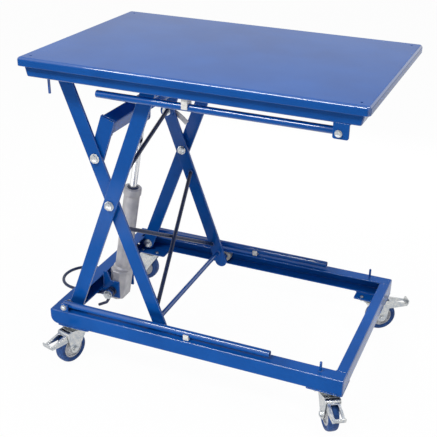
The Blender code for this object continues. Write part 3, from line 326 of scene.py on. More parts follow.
# %% [markdown]
# From recipe to material
#
# A colour ramp narrows the noise to two near colours, and a Bump node turns a much finer noise into the
# relief: orange peel on paint, sand grain on a casting. Zinc also gets small flat cells, because the
# plating grows in crystals. What is the same all over, such as the metallic value, is set on the shader
# itself.

# %% Build the finishes
EVEN = (1.0, 1.0, 1.0)
NOISE_MIDDLE = (0.3, 0.7)
RAMP_ENDS = (0.32, 0.68)
SPANGLE_SHARE = 0.4
GRAIN_DISTANCE = 0.0004
ROUGH_PATCH_SHARE = 1.7
EDGE_COAT_IOR = 1.8
EDGE_COAT_ROUGHNESS = 0.06


def make_finish(name, recipe):
    """A procedural material from a recipe."""
    material = bpy.data.materials.new(name)
    material.use_nodes = True
    tree = material.node_tree
    shader = tree.nodes["Principled BSDF"].inputs
    shader["Metallic"].default_value = recipe.get("metallic", 0.0)
    shader["Specular IOR Level"].default_value = recipe.get("specular", 0.5)
    stretch = recipe.get("stretch", EVEN)
    drift = pattern(tree, recipe["patch"], stretch).outputs["Fac"]
    if "spangle" in recipe:
        cells = pattern(tree, recipe["spangle"], stretch, "ShaderNodeTexVoronoi")
        average = chain(tree, "ShaderNodeMix", Factor=SPANGLE_SHARE)
        tree.links.new(drift, average.inputs[2])
        tree.links.new(cells.outputs["Color"], average.inputs[3])
        drift = average.outputs[0]
    ramp = chain(tree, "ShaderNodeValToRGB", Fac=drift)
    for element, position, colour in zip(ramp.color_ramp.elements, RAMP_ENDS, recipe["colours"]):
        element.position = position
        element.color = (*colour, 1.0)
    tree.links.new(ramp.outputs["Color"], shader["Base Color"])
    rough_drift = pattern(tree, recipe["patch"] * ROUGH_PATCH_SHARE, stretch).outputs["Fac"]
    tree.links.new(spread(tree, rough_drift, *NOISE_MIDDLE, *recipe["roughness"]), shader["Roughness"])
    if "edge_gloss" in recipe:
        tree.links.new(edge_share(tree, recipe["edge_gloss"]), shader["Coat Weight"])
        shader["Coat IOR"].default_value = EDGE_COAT_IOR
        shader["Coat Roughness"].default_value = EDGE_COAT_ROUGHNESS
    grain = pattern(tree, recipe["grain"], stretch).outputs["Fac"]
    bump = chain(tree, "ShaderNodeBump", Height=grain, Strength=recipe["depth"], Distance=GRAIN_DISTANCE)
    tree.links.new(bump.outputs["Normal"], shader["Normal"])
    return material


finishes = {name: make_finish(name, recipe) for name, recipe in FINISHES.items()}
print("made", ", ".join(finishes))

# %% [markdown]
# How a piece joins the table
#
# The imported model knows which body each of its pieces rides on. A new piece that stands for a model piece
# rides on the same body, hides it, and takes its finish. One function does all of this,
# so that nothing is forgotten.

# %% Look up the bodies and pivots, and write the helpers that add a piece
SIDES = {"front": -1, "rear": 1}
CORNERS = ("front_left", "front_right", "rear_left", "rear_right")

record = frame["record"]
body_of = {node: body for body, names in record["behaviour"]["bodies"].items() for node in names}
pivot = {row["name"]: Vector(row["pos_m"]) for row in frame["joints"] if "pos_m" in row}
spin_axis = {row["name"]: Vector(row["axis"]) for row in frame["joints"]}
middle_y = table_middle.y


def add_piece(name, mesh, body, finish, replaced=()):
    """Puts a finished mesh on a body, with its finish, in place of model pieces."""
    mesh.name = name
    mesh.materials.clear()
    mesh.materials.append(finishes[finish])
    piece = placed(name, mesh)
    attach(piece, body)
    if replaced:
        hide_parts(*replaced)
    return piece


def stand_for(node, way, mesh, finish):
    """Puts a mesh in the place of one model piece. The way it was made ends its name."""
    return add_piece(node + "_" + way, mesh, body_of[node], finish, [node])


# %% [markdown]
# Smooth and flat
#
# Shading decides whether a surface looks round or flat. Gentle turns are shaded smooth and sharp ones are
# kept as edges. A Weighted Normal modifier then lets the wide faces rule, so that they look flat beside a
# small round.

# %% Write the shading helpers
SMOOTH_BELOW = math.radians(40)
MERGE_DISTANCE = 0.000002


def soft_shaded(mesh):
    """A mesh that looks smooth where its faces turn gently."""
    mesh.shade_smooth()
    mesh.set_sharp_from_angle(angle=SMOOTH_BELOW)
    return mesh


def smooth_mesh(shape):
    """A mesh from a bmesh whose doubles are merged and whose faces look outwards."""
    bmesh.ops.remove_doubles(shape, verts=shape.verts, dist=MERGE_DISTANCE)
    bmesh.ops.recalc_face_normals(shape, faces=shape.faces)
    return soft_shaded(mesh_of(shape))


def evaluated(obj):
    """The mesh of an object with its modifiers applied. The object is removed."""
    mesh = bpy.data.meshes.new_from_object(obj.evaluated_get(bpy.context.evaluated_depsgraph_get()))
    bpy.data.objects.remove(obj, do_unlink=True)
    return mesh


def flat_shaded(mesh):
    """A mesh whose wide faces look flat and whose small rounds look soft."""
    obj = placed("shaded", soft_shaded(mesh))
    obj.modifiers.new("flat faces", "WEIGHTED_NORMAL").keep_sharp = True
    return evaluated(obj)


print("faces look smooth where they turn less than", round(math.degrees(SMOOTH_BELOW)), "degrees")

# %% [markdown]
# Rounded steel
#
# Folded and rolled steel has no sharp edge, and a soft edge is what catches the light. The model's flat
# pieces keep their shape: each is copied, and its loose triangles are merged to whole faces. How wide those
# faces are says how much room an edge has for its round.

# %% Merge a model piece and measure its faces
FLAT_BELOW = math.radians(0.5)


def merged_copy(node):
    """A model piece as one closed shape with whole faces."""
    shape = bmesh.new()
    shape.from_mesh(nodes[node].data)
    bmesh.ops.remove_doubles(shape, verts=shape.verts, dist=MERGE_DISTANCE)
    bmesh.ops.dissolve_limit(shape, angle_limit=FLAT_BELOW, verts=shape.verts, edges=shape.edges)
    return shape


def room_beside(edge):
    """How wide the narrower face beside an edge is."""
    start = edge.verts[0].co
    along = (edge.verts[1].co - start).normalized()
    widths = []
    for face in edge.link_faces:
        reaches = [vertex.co - start for vertex in face.verts]
        widths.append(max((reach - along * reach.dot(along)).length for reach in reaches))
    return min(widths)


print("faces are merged where they lie within", round(math.degrees(FLAT_BELOW), 1), "degrees")

# %% [markdown]
# The outward edges get a small round with a Bevel modifier. Its limit by angle would round the inner
# corners too, so an edge weight gives each edge its own. Long edges of the rolled channels get a larger
# round than cut edges.

# %% Round the edges of the model's flat pieces
SHARP_ABOVE = math.radians(48)
LONG_EDGE = 0.35
ROUND_STEPS = 3
CUT_ROUND = 0.0009
ROLLED_ROUND = 0.0035
CLIP_ROUND = 0.0006
ROOM_SHARE = 0.3
CHANNELS = ("base_cross_left", "base_cross_right", "table_end_left", "table_end_right")


def soften(node, finish, cut_round, long_round):
    """Stands for a model piece with rounded outward edges."""
    shape = merged_copy(node)
    weight = shape.edges.layers.float.new("bevel_weight_edge")
    widest = max(cut_round, long_round)
    for edge in shape.edges:
        if edge.calc_face_angle_signed(0.0) > SHARP_ABOVE:
            wanted = long_round if edge.calc_length() > LONG_EDGE else cut_round
            edge[weight] = min(wanted, ROOM_SHARE * room_beside(edge)) / widest
    obj = placed(node, mesh_of(shape))
    bevel = obj.modifiers.new("rounded edges", "BEVEL")
    bevel.limit_method = "WEIGHT"
    bevel.width = widest
    bevel.segments = ROUND_STEPS
    bevel.use_clamp_overlap = False
    stand_for(node, "rounded", flat_shaded(evaluated(obj)), finish)


for node in CHANNELS:
    soften(node, "blue_paint", CUT_ROUND, ROLLED_ROUND)
soften("pump_bracket", "blue_paint", CUT_ROUND, CUT_ROUND)
clips = [level + "_clip_" + end for end in SIDES for level in ("base", "table")]
for node in clips:
    soften(node, "white_plastic", CLIP_ROUND, CLIP_ROUND)
print("rounded", len(CHANNELS), "channels,", len(clips), "clips and the pump's bracket")

# %% [markdown]
# Outlines
#
# A shape is only as good as its outline. Few corners of steel are sharp, so the first helper rounds those of
# any outline. Each corner becomes a short curve of a few points, which never takes more than half of a side.

# %% Round the corners of an outline
CORNER_CUT = 0.48


def filleted(points, radius, steps=4, closed=True):
    """The same outline with round corners. The radius is one for all corners, or one for each."""
    radii = radius if isinstance(radius, (list, tuple)) else [radius] * len(points)
    rounded = []
    for i, point in enumerate(points):
        corner = Vector(point)
        if not closed and i in (0, len(points) - 1):
            rounded.append(tuple(corner))
            continue
        before = Vector(points[i - 1]) - corner
        after = Vector(points[(i + 1) % len(points)]) - corner
        reach = min(radii[i], CORNER_CUT * before.length, CORNER_CUT * after.length)
        start = corner + before.normalized() * reach
        end = corner + after.normalized() * reach
        pull = math.sqrt(max(1 - before.normalized().dot(after.normalized()), 0.0) / 2)
        for step in range(steps + 1):
            t = step / steps
            shares = ((1 - t) ** 2, 2 * pull * t * (1 - t), t ** 2)
            rounded.append(tuple((start * shares[0] + corner * shares[1] + end * shares[2]) / sum(shares)))
    return rounded


print("a rounded square has", len(filleted([(0, 0), (1, 0), (1, 1), (0, 1)], 0.1)), "points")

# %% [markdown]
# An arc gives bar ends, holes and bows. A rod and a ring are the half outlines that a lathe would follow.

# %% Write the other outlines
QUARTER_TURN = math.pi / 2


def arc(centre, radius, start, sweep, steps):
    """Points round part of a circle."""
    angles = [start + sweep * step / steps for step in range(steps + 1)]
    return [(centre[0] + radius * math.cos(angle), centre[1] + radius * math.sin(angle)) for angle in angles]


def circle(centre, radius, sides=40):
    """A round outline."""
    return arc(centre, radius, 0.0, math.tau, sides)[:-1]


def rectangle(left, low, right, high):
    """Four corners, counted round."""
    return [(left, low), (right, low), (right, high), (left, high)]


def bar_outline(start, end, width, steps=16):
    """A flat bar with round ends."""
    along = math.atan2(end[1] - start[1], end[0] - start[0])
    half = width / 2
    return (arc(end, half, along - QUARTER_TURN, math.pi, steps)
            + arc(start, half, along + QUARTER_TURN, math.pi, steps))


def hull(points):
    """The outline that a string pulled round the points would have."""
    return [points[i] for i in convex_hull_2d(points)]


def rod_outline(radius, start, end):
    """Half the outline of a round rod, as (radius, height) points."""
    return [(0.0, end), (radius, end), (radius, start), (0.0, start)]


def ring_outline(inner, outer, half):
    """Half the outline of a ring, as (radius, height) points."""
    return [(inner, half), (outer, half), (outer, -half), (inner, -half)]


print("a bar's round end has", len(bar_outline((0, 0), (1, 0), 1)) // 2, "points")

# %% [markdown]
# Three ways to make a shape
#
# Nearly everything on this table is turned on a lathe, pressed, or cut from plate. A turned shape is half
# an outline that spins about an axis. A pressed shape is a stack of rings. A Screw modifier or bridged edge
# loops would do the same, but here the result is a plain mesh at once.

# %% Turn and press
ORIGIN = (0, 0, 0)
UP = (0, 0, 1)
ACROSS = (0, 1, 0)


def turned(profile, place, direction, sides=48, ring=False):
    """A mesh turned from (radius, height) points about an axis. A ring's profile is closed."""
    shape = bmesh.new()
    points = [shape.verts.new((radius, 0.0, height)) for radius, height in profile]
    edges = [shape.edges.new(pair) for pair in zip(points, points[1:])]
    if ring:
        edges.append(shape.edges.new((points[-1], points[0])))
    bmesh.ops.spin(shape, geom=points + edges, cent=ORIGIN, axis=UP, angle=math.tau, steps=sides)
    turn = Vector(direction).to_track_quat("Z", "Y").to_matrix().to_4x4()
    shape.transform(Matrix.Translation(place) @ turn)
    return smooth_mesh(shape)


def pressed(rings):
    """A mesh that runs from the first ring to the last, closed at both."""
    shape = bmesh.new()
    rows = [[shape.verts.new(place) for place in ring] for ring in rings]
    for row, following in zip(rows, rows[1:]):
        for i in range(len(row)):
            shape.faces.new((row[i - 1], row[i], following[i], following[i - 1]))
    shape.faces.new(rows[0])
    shape.faces.new(rows[-1])
    return flat_shaded(smooth_mesh(shape))


print("two of three shapes: turned and pressed")

# %% [markdown]
# Plate is a flat outline with a thickness: a two-dimensional curve gives it, and the curve's bevel rounds
# the rim. Cutters could make its holes, but further loops of the same curve leave cleaner faces. Two small
# helpers join meshes and put them in their place.

# %% Cut plate
AXES = {"x": ((0, 1, 0), (0, 0, 1), (1, 0, 0)), "y": ((1, 0, 0), (0, 0, 1), (0, -1, 0)),
        "z": ((1, 0, 0), (0, 1, 0), (0, 0, 1))}
RIM_STEPS = 2


def plate(loops, axis, low, high, rim):
    """A flat outline, its first loop the edge and the others holes, given a thickness and a round rim."""
    curve = bpy.data.curves.new("outline", "CURVE")
    curve.dimensions = "2D"
    curve.fill_mode = "BOTH"
    curve.extrude = abs(high - low) / 2 - rim
    curve.bevel_depth = rim
    curve.bevel_resolution = RIM_STEPS
    curve.offset = -rim
    for loop in loops:
        spline = curve.splines.new("POLY")
        spline.points.add(len(loop) - 1)
        for point, place in zip(spline.points, loop):
            point.co = (place[0], place[1], 0.0, 1.0)
        spline.use_cyclic_u = True
    shape = bmesh.new()
    shape.from_mesh(evaluated(placed("outline", curve)))
    middle = Vector(ORIGIN)
    middle["xyz".index(axis)] = (low + high) / 2
    shape.transform(Matrix.Translation(middle) @ Matrix(AXES[axis]).transposed().to_4x4())
    return flat_shaded(smooth_mesh(shape))


def joined(*meshes):
    """One mesh from several."""
    shape = bmesh.new()
    for mesh in meshes:
        shape.from_mesh(mesh)
    return flat_shaded(mesh_of(shape))


def moved(mesh, stand):
    """A mesh put in its place."""
    mesh.transform(stand)
    return mesh


print("the third shape: plate, cut square to", ", ".join(AXES))

# %% [markdown]
# The platform
#
# The platform is one sheet of steel whose edges are folded down over a round former, so its rim is a soft
# curve and not a corner. A box with a Bevel modifier would have the outer curve, but not the sheet's inside
# and the hem. A stack of rounded rectangles gives them all: the rings run from the top round the fold to
# the lip's lower edge, and back up on the inside.

# %% Fold the platform sheet
MILLIMETRE = 0.001
SHEET = 0.003
PAN_CORNER_ROUND = 0.010
PAN_EDGE_ROUND = 0.008
HEM_ROUND = 0.0013
CORNER_STEPS = 10
FOLD_STEPS = 8
pan_half_x = (pan_high.x - pan_low.x) / 2
pan_half_y = (pan_high.y - pan_low.y) / 2


def rounded_rectangle(inset, height):
    """A ring of the platform's outline, set in by a distance."""
    radius = max(PAN_CORNER_ROUND - inset, MILLIMETRE)
    ring = []
    for quarter, (x_side, y_side) in enumerate(((1, 1), (-1, 1), (-1, -1), (1, -1))):
        x = table_middle.x + x_side * (pan_half_x - inset - radius)
        y = middle_y + y_side * (pan_half_y - inset - radius)
        ring += arc((x, y), radius, quarter * QUARTER_TURN, QUARTER_TURN, CORNER_STEPS)
    return [(x, y, height) for x, y in ring]


def fold(inset):
    """Insets and heights round the sheet's fold, from the lip up to the top. The inner face is set in."""
    quarter = arc((0.0, pan_high.z - PAN_EDGE_ROUND), PAN_EDGE_ROUND - inset, 0.0, QUARTER_TURN, FOLD_STEPS)
    return [(PAN_EDGE_ROUND - reach, height) for reach, height in quarter]


hem = [(HEM_ROUND, pan_low.z), (HEM_ROUND / 3, pan_low.z + HEM_ROUND / 3), (0.0, pan_low.z + HEM_ROUND)]
outside = hem + fold(0.0)
inside = [(SHEET - HEM_ROUND / 3, pan_low.z), (SHEET, pan_low.z + HEM_ROUND / 3)] + fold(SHEET)
stations = outside[::-1] + inside
sheet = pressed([rounded_rectangle(*station) for station in stations])
print("folded the platform from", len(stations), "rings")

# %% [markdown]
# Near each corner of the platform is a small hole. A stack of rings leaves none, so a Boolean modifier
# takes a turned cutter out of the sheet at each of the four places.

# %% Drill the platform
HOLE_RADIUS = 0.0032
HOLE_INSET = 0.027
HOLE_SIDES = 20


def cut_away(mesh, cutters):
    """A mesh with closed cutter meshes taken out of it."""
    obj = placed("blank", mesh)
    tools = [placed("cutter", cutter) for cutter in cutters]
    for tool in tools:
        boolean = obj.modifiers.new("cut", "BOOLEAN")
        boolean.operation = "DIFFERENCE"
        boolean.object = tool
    result = evaluated(obj)
    for tool in tools:
        bpy.data.objects.remove(tool, do_unlink=True)
    return result


hole_places = [(table_middle.x + x * (pan_half_x - HOLE_INSET), middle_y + y * (pan_half_y - HOLE_INSET),
                pan_high.z) for x in (-1, 1) for y in (-1, 1)]
drill = rod_outline(HOLE_RADIUS, -2 * SHEET, 2 * SHEET)
drills = [turned(drill, place, UP, HOLE_SIDES) for place in hole_places]
pan_mesh = flat_shaded(cut_away(sheet, drills))
pan = add_piece("platform_sheet", pan_mesh, "table", "blue_paint", ["platform_pan"])
print("platform has", len(pan.data.polygons), "faces and", len(hole_places), "holes")

# %% [markdown]
# Rails
#
# The four long rails are channels, open towards the middle and closed at their ends, so each is a shallow
# tray that stands on its side. A section swept along a line would leave the ends open, so they are pressed
# as the platform is. Their side views come first. The base rails have one well rounded corner at the left,
# and the ends of the table rails lean inwards. Where they start and end is read from the model.

# %% Draw the rails' side views
RAIL_CORNER = 0.0045
RAIL_CORNER_STEPS = 8
BASE_LEFT_ROUND = 0.022
TABLE_END_LEAN = 0.0105
base_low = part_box("base_cross_right")[0].z
base_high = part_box("base_cross_right")[1].z
base_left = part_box("base_cross_left")[0].x
base_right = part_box("base_cross_right")[1].x
table_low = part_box("table_end_right")[0].z
table_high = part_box("table_end_right")[1].z
table_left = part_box("table_end_left")[0].x
table_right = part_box("table_end_right")[1].x


def base_view(inset):
    """The base rail's side view, set in by a distance."""
    corners = [(base_right - inset, base_low + inset), (base_right - inset, base_high - inset),
               (base_left + inset, base_high - inset), (base_left + inset, base_low + inset)]
    rounds = (RAIL_CORNER, RAIL_CORNER, RAIL_CORNER, BASE_LEFT_ROUND)
    return filleted(corners, [max(radius - inset, MILLIMETRE) for radius in rounds], RAIL_CORNER_STEPS)


def table_view(inset):
    """The table rail's side view, set in by a distance. Its ends lean."""
    lean = TABLE_END_LEAN
    corners = [(table_right - lean - inset, table_low + inset), (table_right - inset, table_high - inset),
               (table_left + inset, table_high - inset), (table_left + lean + inset, table_low + inset)]
    return filleted(corners, max(RAIL_CORNER - inset, MILLIMETRE), RAIL_CORNER_STEPS)


print("rails are", round(base_right - base_left, 3), "and", round(table_right - table_left, 3), "m long")

# %% [markdown]
# The rings of a rail follow its side view. They run from the outer face round the rolled corner, along the
# outside to the open edge, and back on the inside to the web.

# %% Press the rails
RAIL_OUTER = 0.287
RAIL_INNER = 0.247
RAIL_WALL = 0.004
WEB_INNER = RAIL_OUTER - RAIL_WALL
RAIL_ROUND = 0.0038
RAIL_STEPS = 5
TIP_ROUND = 0.0012
INSIDE_ROUND = 0.0020
ROUND_DEPTH = 0.3


def across(side, distance):
    """A place across the table, from its distance to the middle."""
    return middle_y + side * distance


def rail(view, side):
    """A channel with closed ends from its side view."""
    stations = []
    for step in range(RAIL_STEPS + 1):
        angle = QUARTER_TURN * step / RAIL_STEPS
        stations.append((RAIL_ROUND * (1 - math.sin(angle)), RAIL_OUTER - RAIL_ROUND * (1 - math.cos(angle))))
    for inset, turn in ((0.0, 1), (RAIL_WALL, -1)):
        tip = [(inset + turn * TIP_ROUND * deep, RAIL_INNER + TIP_ROUND * high)
               for deep, high in ((0, 1), (ROUND_DEPTH, ROUND_DEPTH), (1, 0))]
        stations += tip[::turn]
    stations += [(RAIL_WALL + INSIDE_ROUND * deep, WEB_INNER - INSIDE_ROUND * low)
                 for deep, low in ((0, 1), (ROUND_DEPTH, ROUND_DEPTH), (1, 0))]
    return pressed([[(x, across(side, distance), z) for x, z in view(inset)] for inset, distance in stations])


base_rails = {end: rail(base_view, side) for end, side in SIDES.items()}
table_rails = {end: rail(table_view, side) for end, side in SIDES.items()}
print("pressed", len(base_rails) + len(table_rails), "rails")

# %% [markdown]
# What is welded to the rails
#
# A plate under each corner of the base carries a caster. Lugs hold the bolts about which the struts swing,
# and a pin at the other end locates a strut that is swung out. Studs and bolts are plain round bars.

# %% Shape the plates, lugs and pins
RAIL_MIDDLE = 0.267
CORNER_PLATE = (0.100, 0.080, 0.0040)
PLATE_CORNER = 0.004
PLATE_RIM = 0.0006
PIN_RADIUS = 0.0035
PIN_TIP = 0.0016
PIN_SIDES = 24
LUG_THICKNESS = 0.005
LUG_RIM = 0.0007
ROD_EDGE = 0.0008
ROD_SIDES = 32


def cross_rod(centre, side, near, far, radius):
    """A round bar across the table with softened ends, from one distance to another."""
    outline = filleted(rod_outline(radius, 0.0, far - near), ROD_EDGE, steps=2, closed=False)
    return turned(outline, (centre.x, across(side, near), centre.z), (0, side, 0), ROD_SIDES)


def pin(x, side, height, length, up):
    """A locating pin with a round tip, welded to a rail."""
    outline = filleted(rod_outline(PIN_RADIUS, 0.0, length), PIN_TIP, steps=4, closed=False)
    return turned(outline, (x, across(side, RAIL_MIDDLE), height), (0, 0, up), PIN_SIDES)


def lug_plate(outline, side):
    """A lug that stands flush with a rail's outer face."""
    return plate([outline], "y", across(side, RAIL_OUTER), across(side, RAIL_OUTER - LUG_THICKNESS), LUG_RIM)


def corner_plate(left, side):
    """The plate under a corner of the base that carries a caster."""
    near = across(side, RAIL_OUTER - MILLIMETRE)
    far = across(side, RAIL_OUTER - CORNER_PLATE[1])
    outline = filleted(rectangle(left, near, left + CORNER_PLATE[0], far), PLATE_CORNER)
    return plate([outline], "z", base_low - CORNER_PLATE[2], base_low, PLATE_RIM)


print("a corner plate is", CORNER_PLATE[0], "by", CORNER_PLATE[1], "m")

# %% [markdown]
# Every rail becomes one mesh with what is welded to it. Studs reach inwards from it and carry the fixed
# ends of the legs. The bolts of the struts are joints of the model, so lugs and pins take their places from
# them.

# %% Put the rails together
UPRIGHT_PIN = 0.030
HANGING_PIN = 0.0425
LUG_CORNERS = (0.005, 0.005, LUG_RIM, LUG_RIM)
BASE_LUG_HALF = 0.012
TABLE_LUG_LEFT = 0.014
TABLE_LUG_RIGHT = 0.024
TABLE_LUG_BELOW = 0.013
STRUT_BOLT_RADIUS = 0.0045
STRUT_STOP = 0.257
STUD_RADIUS = 0.010
ARC_STEPS = 16
OUTER_LEG = (0.231, 0.239)
INNER_LEG = (0.215, 0.223)
RUNNING = 0.0003

for end, side in SIDES.items():
    hinge = pivot["base_strut_" + end + "_swing"]
    latch = pivot["table_strut_" + end + "_swing"]
    lug = [(hinge.x + half, base_high - MILLIMETRE) for half in (-BASE_LUG_HALF, BASE_LUG_HALF)]
    lug += arc((hinge.x, hinge.z), BASE_LUG_HALF, 0.0, math.pi, ARC_STEPS)
    pieces = [base_rails[end],
              corner_plate(base_left + BASE_LEFT_ROUND, side),
              corner_plate(base_right - CORNER_PLATE[0], side),
              pin(latch.x, side, base_high, UPRIGHT_PIN, 1),
              lug_plate(lug, side),
              cross_rod(hinge, side, STRUT_STOP, RAIL_OUTER, STRUT_BOLT_RADIUS),
              cross_rod(pivot["lift"], side, OUTER_LEG[0] - RUNNING, WEB_INNER, STUD_RADIUS)]
    stand_for("base_rail_" + end, "pressed", joined(*pieces), "blue_paint")

    lug = rectangle(latch.x - TABLE_LUG_LEFT, latch.z - TABLE_LUG_BELOW, latch.x + TABLE_LUG_RIGHT,
                    table_low + MILLIMETRE)
    pieces = [table_rails[end],
              pin(hinge.x, side, table_low, HANGING_PIN, -1),
              lug_plate(filleted(lug, LUG_CORNERS), side),
              cross_rod(latch, side, STRUT_STOP, RAIL_OUTER, STRUT_BOLT_RADIUS),
              cross_rod(pivot["table_level"], side, INNER_LEG[0] - RUNNING, WEB_INNER, STUD_RADIUS)]
    stand_for("table_rail_" + end, "pressed", joined(*pieces), "blue_paint")
print("put together", 2 * len(SIDES), "rails")

# %% [markdown]
# Legs and lift arms
#
# The crossed legs are flat bars with round ends, drilled where they turn. Each pivot of the table is a
# joint of the model, so the outlines start from the joints' places and stay right when the model's sizes
# change. The lift arms are bolted to the inner legs and rise steeply from them.

# %% Find the pivots and draw the arm
ARM_SETBACK = 0.2595
ARM_ANGLE = math.radians(71.0)
ARM_LENGTH = 0.118
ARM_HALF = 0.021


def side_view(place):
    """A place as a point of the side view."""
    return Vector((place.x, place.z))


def standing(point):
    """A point of the side view as a place in the middle of the table."""
    return Vector((point.x, middle_y, point.y))


centre = side_view(pivot["scissor"])
base_pivot = side_view(pivot["lift"])
table_pivot = side_view(pivot["table_level"])
upper_roller = side_view(pivot["upper_roller_front_spin"])
lower_roller = side_view(pivot["lower_roller_front_spin"])
arm_bolt = table_pivot + (lower_roller - table_pivot).normalized() * ARM_SETBACK
arm_axis = Vector((math.cos(ARM_ANGLE), math.sin(ARM_ANGLE)))
arm_side = Vector((-arm_axis.y, arm_axis.x))
arm_outline = [tuple(arm_bolt + arm_axis * ARM_LENGTH + arm_side * half) for half in (-ARM_HALF, ARM_HALF)]
arm_outline += arc(arm_bolt, ARM_HALF, ARM_ANGLE + QUARTER_TURN, math.pi, ARC_STEPS)
print("legs are", round((upper_roller - base_pivot).length, 3), "m long between their pivots")

# %% [markdown]
# A leg is a plate with its holes as further loops, joined to the axle on which its roller runs. Where the
# legs cross, a plated bolt with a spacer holds them apart.

# %% Cut the legs and the lift arms
LEG_WIDTH = 0.040
LEG_RIM = 0.0013
STUD_HOLE = 0.0103
CENTRE_RADIUS = 0.008
CENTRE_SPACER = 0.015
ROLLER_PIN = 0.008
ROLLER_FAR = 0.277
ARM = (0.206, 0.214)
ARM_BOLT = 0.007
centre_hole = (centre, CENTRE_RADIUS)


def leg(side, span, fixed_end, roller_end, holes):
    """A drilled leg with the axle of its roller."""
    loops = [bar_outline(fixed_end, roller_end, LEG_WIDTH), circle(fixed_end, STUD_HOLE)]
    loops += [circle(place, radius + RUNNING) for place, radius in holes]
    bar = plate(loops, "y", across(side, span[0]), across(side, span[1]), LEG_RIM)
    return joined(bar, cross_rod(standing(roller_end), side, span[0] + LEG_RIM, ROLLER_FAR, ROLLER_PIN))


for end, side in SIDES.items():
    outer = leg(side, OUTER_LEG, base_pivot, upper_roller, [centre_hole])
    stand_for("outer_leg_" + end, "cut", outer, "blue_paint")
    inner = leg(side, INNER_LEG, table_pivot, lower_roller, [centre_hole, (arm_bolt, ARM_BOLT)])
    stand_for("inner_leg_" + end, "cut", inner, "blue_paint")
    arm = plate([arm_outline], "y", across(side, ARM[0]), across(side, ARM[1]), LEG_RIM)
    shank = cross_rod(standing(arm_bolt), side, ARM[1] - MILLIMETRE, INNER_LEG[1] + RUNNING, ARM_BOLT)
    stand_for("lift_arm_" + end, "cut", joined(arm, shank), "blue_paint")
    spacer = cross_rod(standing(centre), side, INNER_LEG[1] + RUNNING, OUTER_LEG[0] - RUNNING, CENTRE_SPACER)
    shank = cross_rod(standing(centre), side, INNER_LEG[0] - RUNNING, OUTER_LEG[1] + RUNNING, CENTRE_RADIUS)
    add_piece("centre_shank_" + end, joined(spacer, shank), "outer_frame", "zinc", ["centre_bolt_" + end])
print("cut", 2 * len(SIDES), "legs and", len(SIDES), "arms")

# %% [markdown]
# The crossbeam
#
# A square tube ties the two lift arms together, and the cylinder pushes it up. Two lugs hang from the tube
# and take the pin of the piston rod's eye, so the place of that pin is worked out here from the line on
# which the rod slides.

# %% Cut the crossbeam
BEAM_HALF = 0.020
BEAM_WALL = 0.004
BEAM_CORNER_SHARE = 0.2
BEAM_RIM = 0.0006
BEAM_LUG = (0.015, 0.023)
BEAM_LUG_RADIUS = 0.016
BEAM_LUG_RIM = 0.0010
BEAM_LUG_ROOT = 0.8
EYE_RADIUS = 0.015
SQUARE = ((-1, -1), (1, -1), (1, 1), (-1, 1))

pump_place = pivot["cylinder_tilt"]
pump_line = spin_axis["rod_slide"].normalized()
rod_length = (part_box("piston_rod")[1].z - EYE_RADIUS - pump_place.z) / pump_line.z
rod_pin = pump_place + pump_line * rod_length
beam_middle = arm_bolt + arm_axis * (ARM_LENGTH - BEAM_HALF)


def beam_corners(half):
    """The corners of a square about the beam's middle, turned with the arms."""
    return [beam_middle + arm_axis * (half * a) + arm_side * (half * b) for a, b in SQUARE]


tube = []
for half in (BEAM_HALF, BEAM_HALF - BEAM_WALL):
    tube.append(filleted([tuple(corner) for corner in beam_corners(half)], BEAM_CORNER_SHARE * half))
beam_end = ARM[0] - RUNNING
pieces = [plate(tube, "y", across(-1, beam_end), across(1, beam_end), BEAM_RIM)]
under = beam_middle + arm_axis * (BEAM_WALL / 2 - BEAM_HALF)
root = [tuple(under + arm_side * (b * BEAM_HALF * BEAM_LUG_ROOT)) for b in (-1, 1)]
lug = hull(root + circle(side_view(rod_pin), BEAM_LUG_RADIUS))
for side in SIDES.values():
    pieces.append(plate([lug], "y", across(side, BEAM_LUG[0]), across(side, BEAM_LUG[1]), BEAM_LUG_RIM))
stand_for("lift_crossbeam", "cut", joined(*pieces), "blue_paint")
print("cut a crossbeam of", round(2 * beam_end, 3), "m")

# %% [markdown]
# Casters
#
# Each caster is a stack: a square plate, a ball race, a fork that swivels, and a brake pedal on a pin. The
# fork is bent from sheet steel, so it has a crown and two cheeks, and each of them is a plate. Everything
# is made in the caster's own frame, with the wheel trailing along X, because the four of them point
# different ways.

# %% Write the caster's plate and fork
CASTER_HEIGHT = 0.1172
CASTER_PLATE_HALF = 0.035
CASTER_PLATE_CORNER = 0.006
CASTER_PLATE_LOW = 0.1132
SHEET_RIM = 0.0007
RACE = ((0.0, 0.1136), (0.027, 0.1136), (0.027, 0.1098), (0.0235, 0.1072), (0.0, 0.1072))
RACE_ROUND = 0.0012
KINGPIN = ((0.0, 0.1072), (0.006, 0.1072), (0.006, 0.1026), (0.011, 0.1026), (0.011, 0.0986), (0.0, 0.0986))
KINGPIN_HOLE = 0.0063
HEXAGON = 6
CROWN = (0.1029, 0.1069)
CROWN_RADIUS = 0.030
CROWN_REACH = 0.042
CHEEK_INSET = 0.003
FORK_CHEEK = (0.0185, 0.0215)
FORK_BOSS = 0.015
BRAKE_BOSS = 0.006
BRAKE_PIN_X = 0.052
BRAKE_PIN_Z = 0.1006
AXLE_RADIUS = 0.005
BRAKE_PIN_RADIUS = 0.003
AXLE_SIDES = 20


def caster_plate():
    """The square top plate with the ball race and the kingpin."""
    square = rectangle(-CASTER_PLATE_HALF, -CASTER_PLATE_HALF, CASTER_PLATE_HALF, CASTER_PLATE_HALF)
    top = plate([filleted(square, CASTER_PLATE_CORNER)], "z", CASTER_PLATE_LOW, CASTER_HEIGHT, SHEET_RIM)
    race = turned(filleted(RACE, RACE_ROUND, steps=3, closed=False), ORIGIN, UP)
    return joined(top, race, turned(KINGPIN, ORIGIN, UP, HEXAGON))


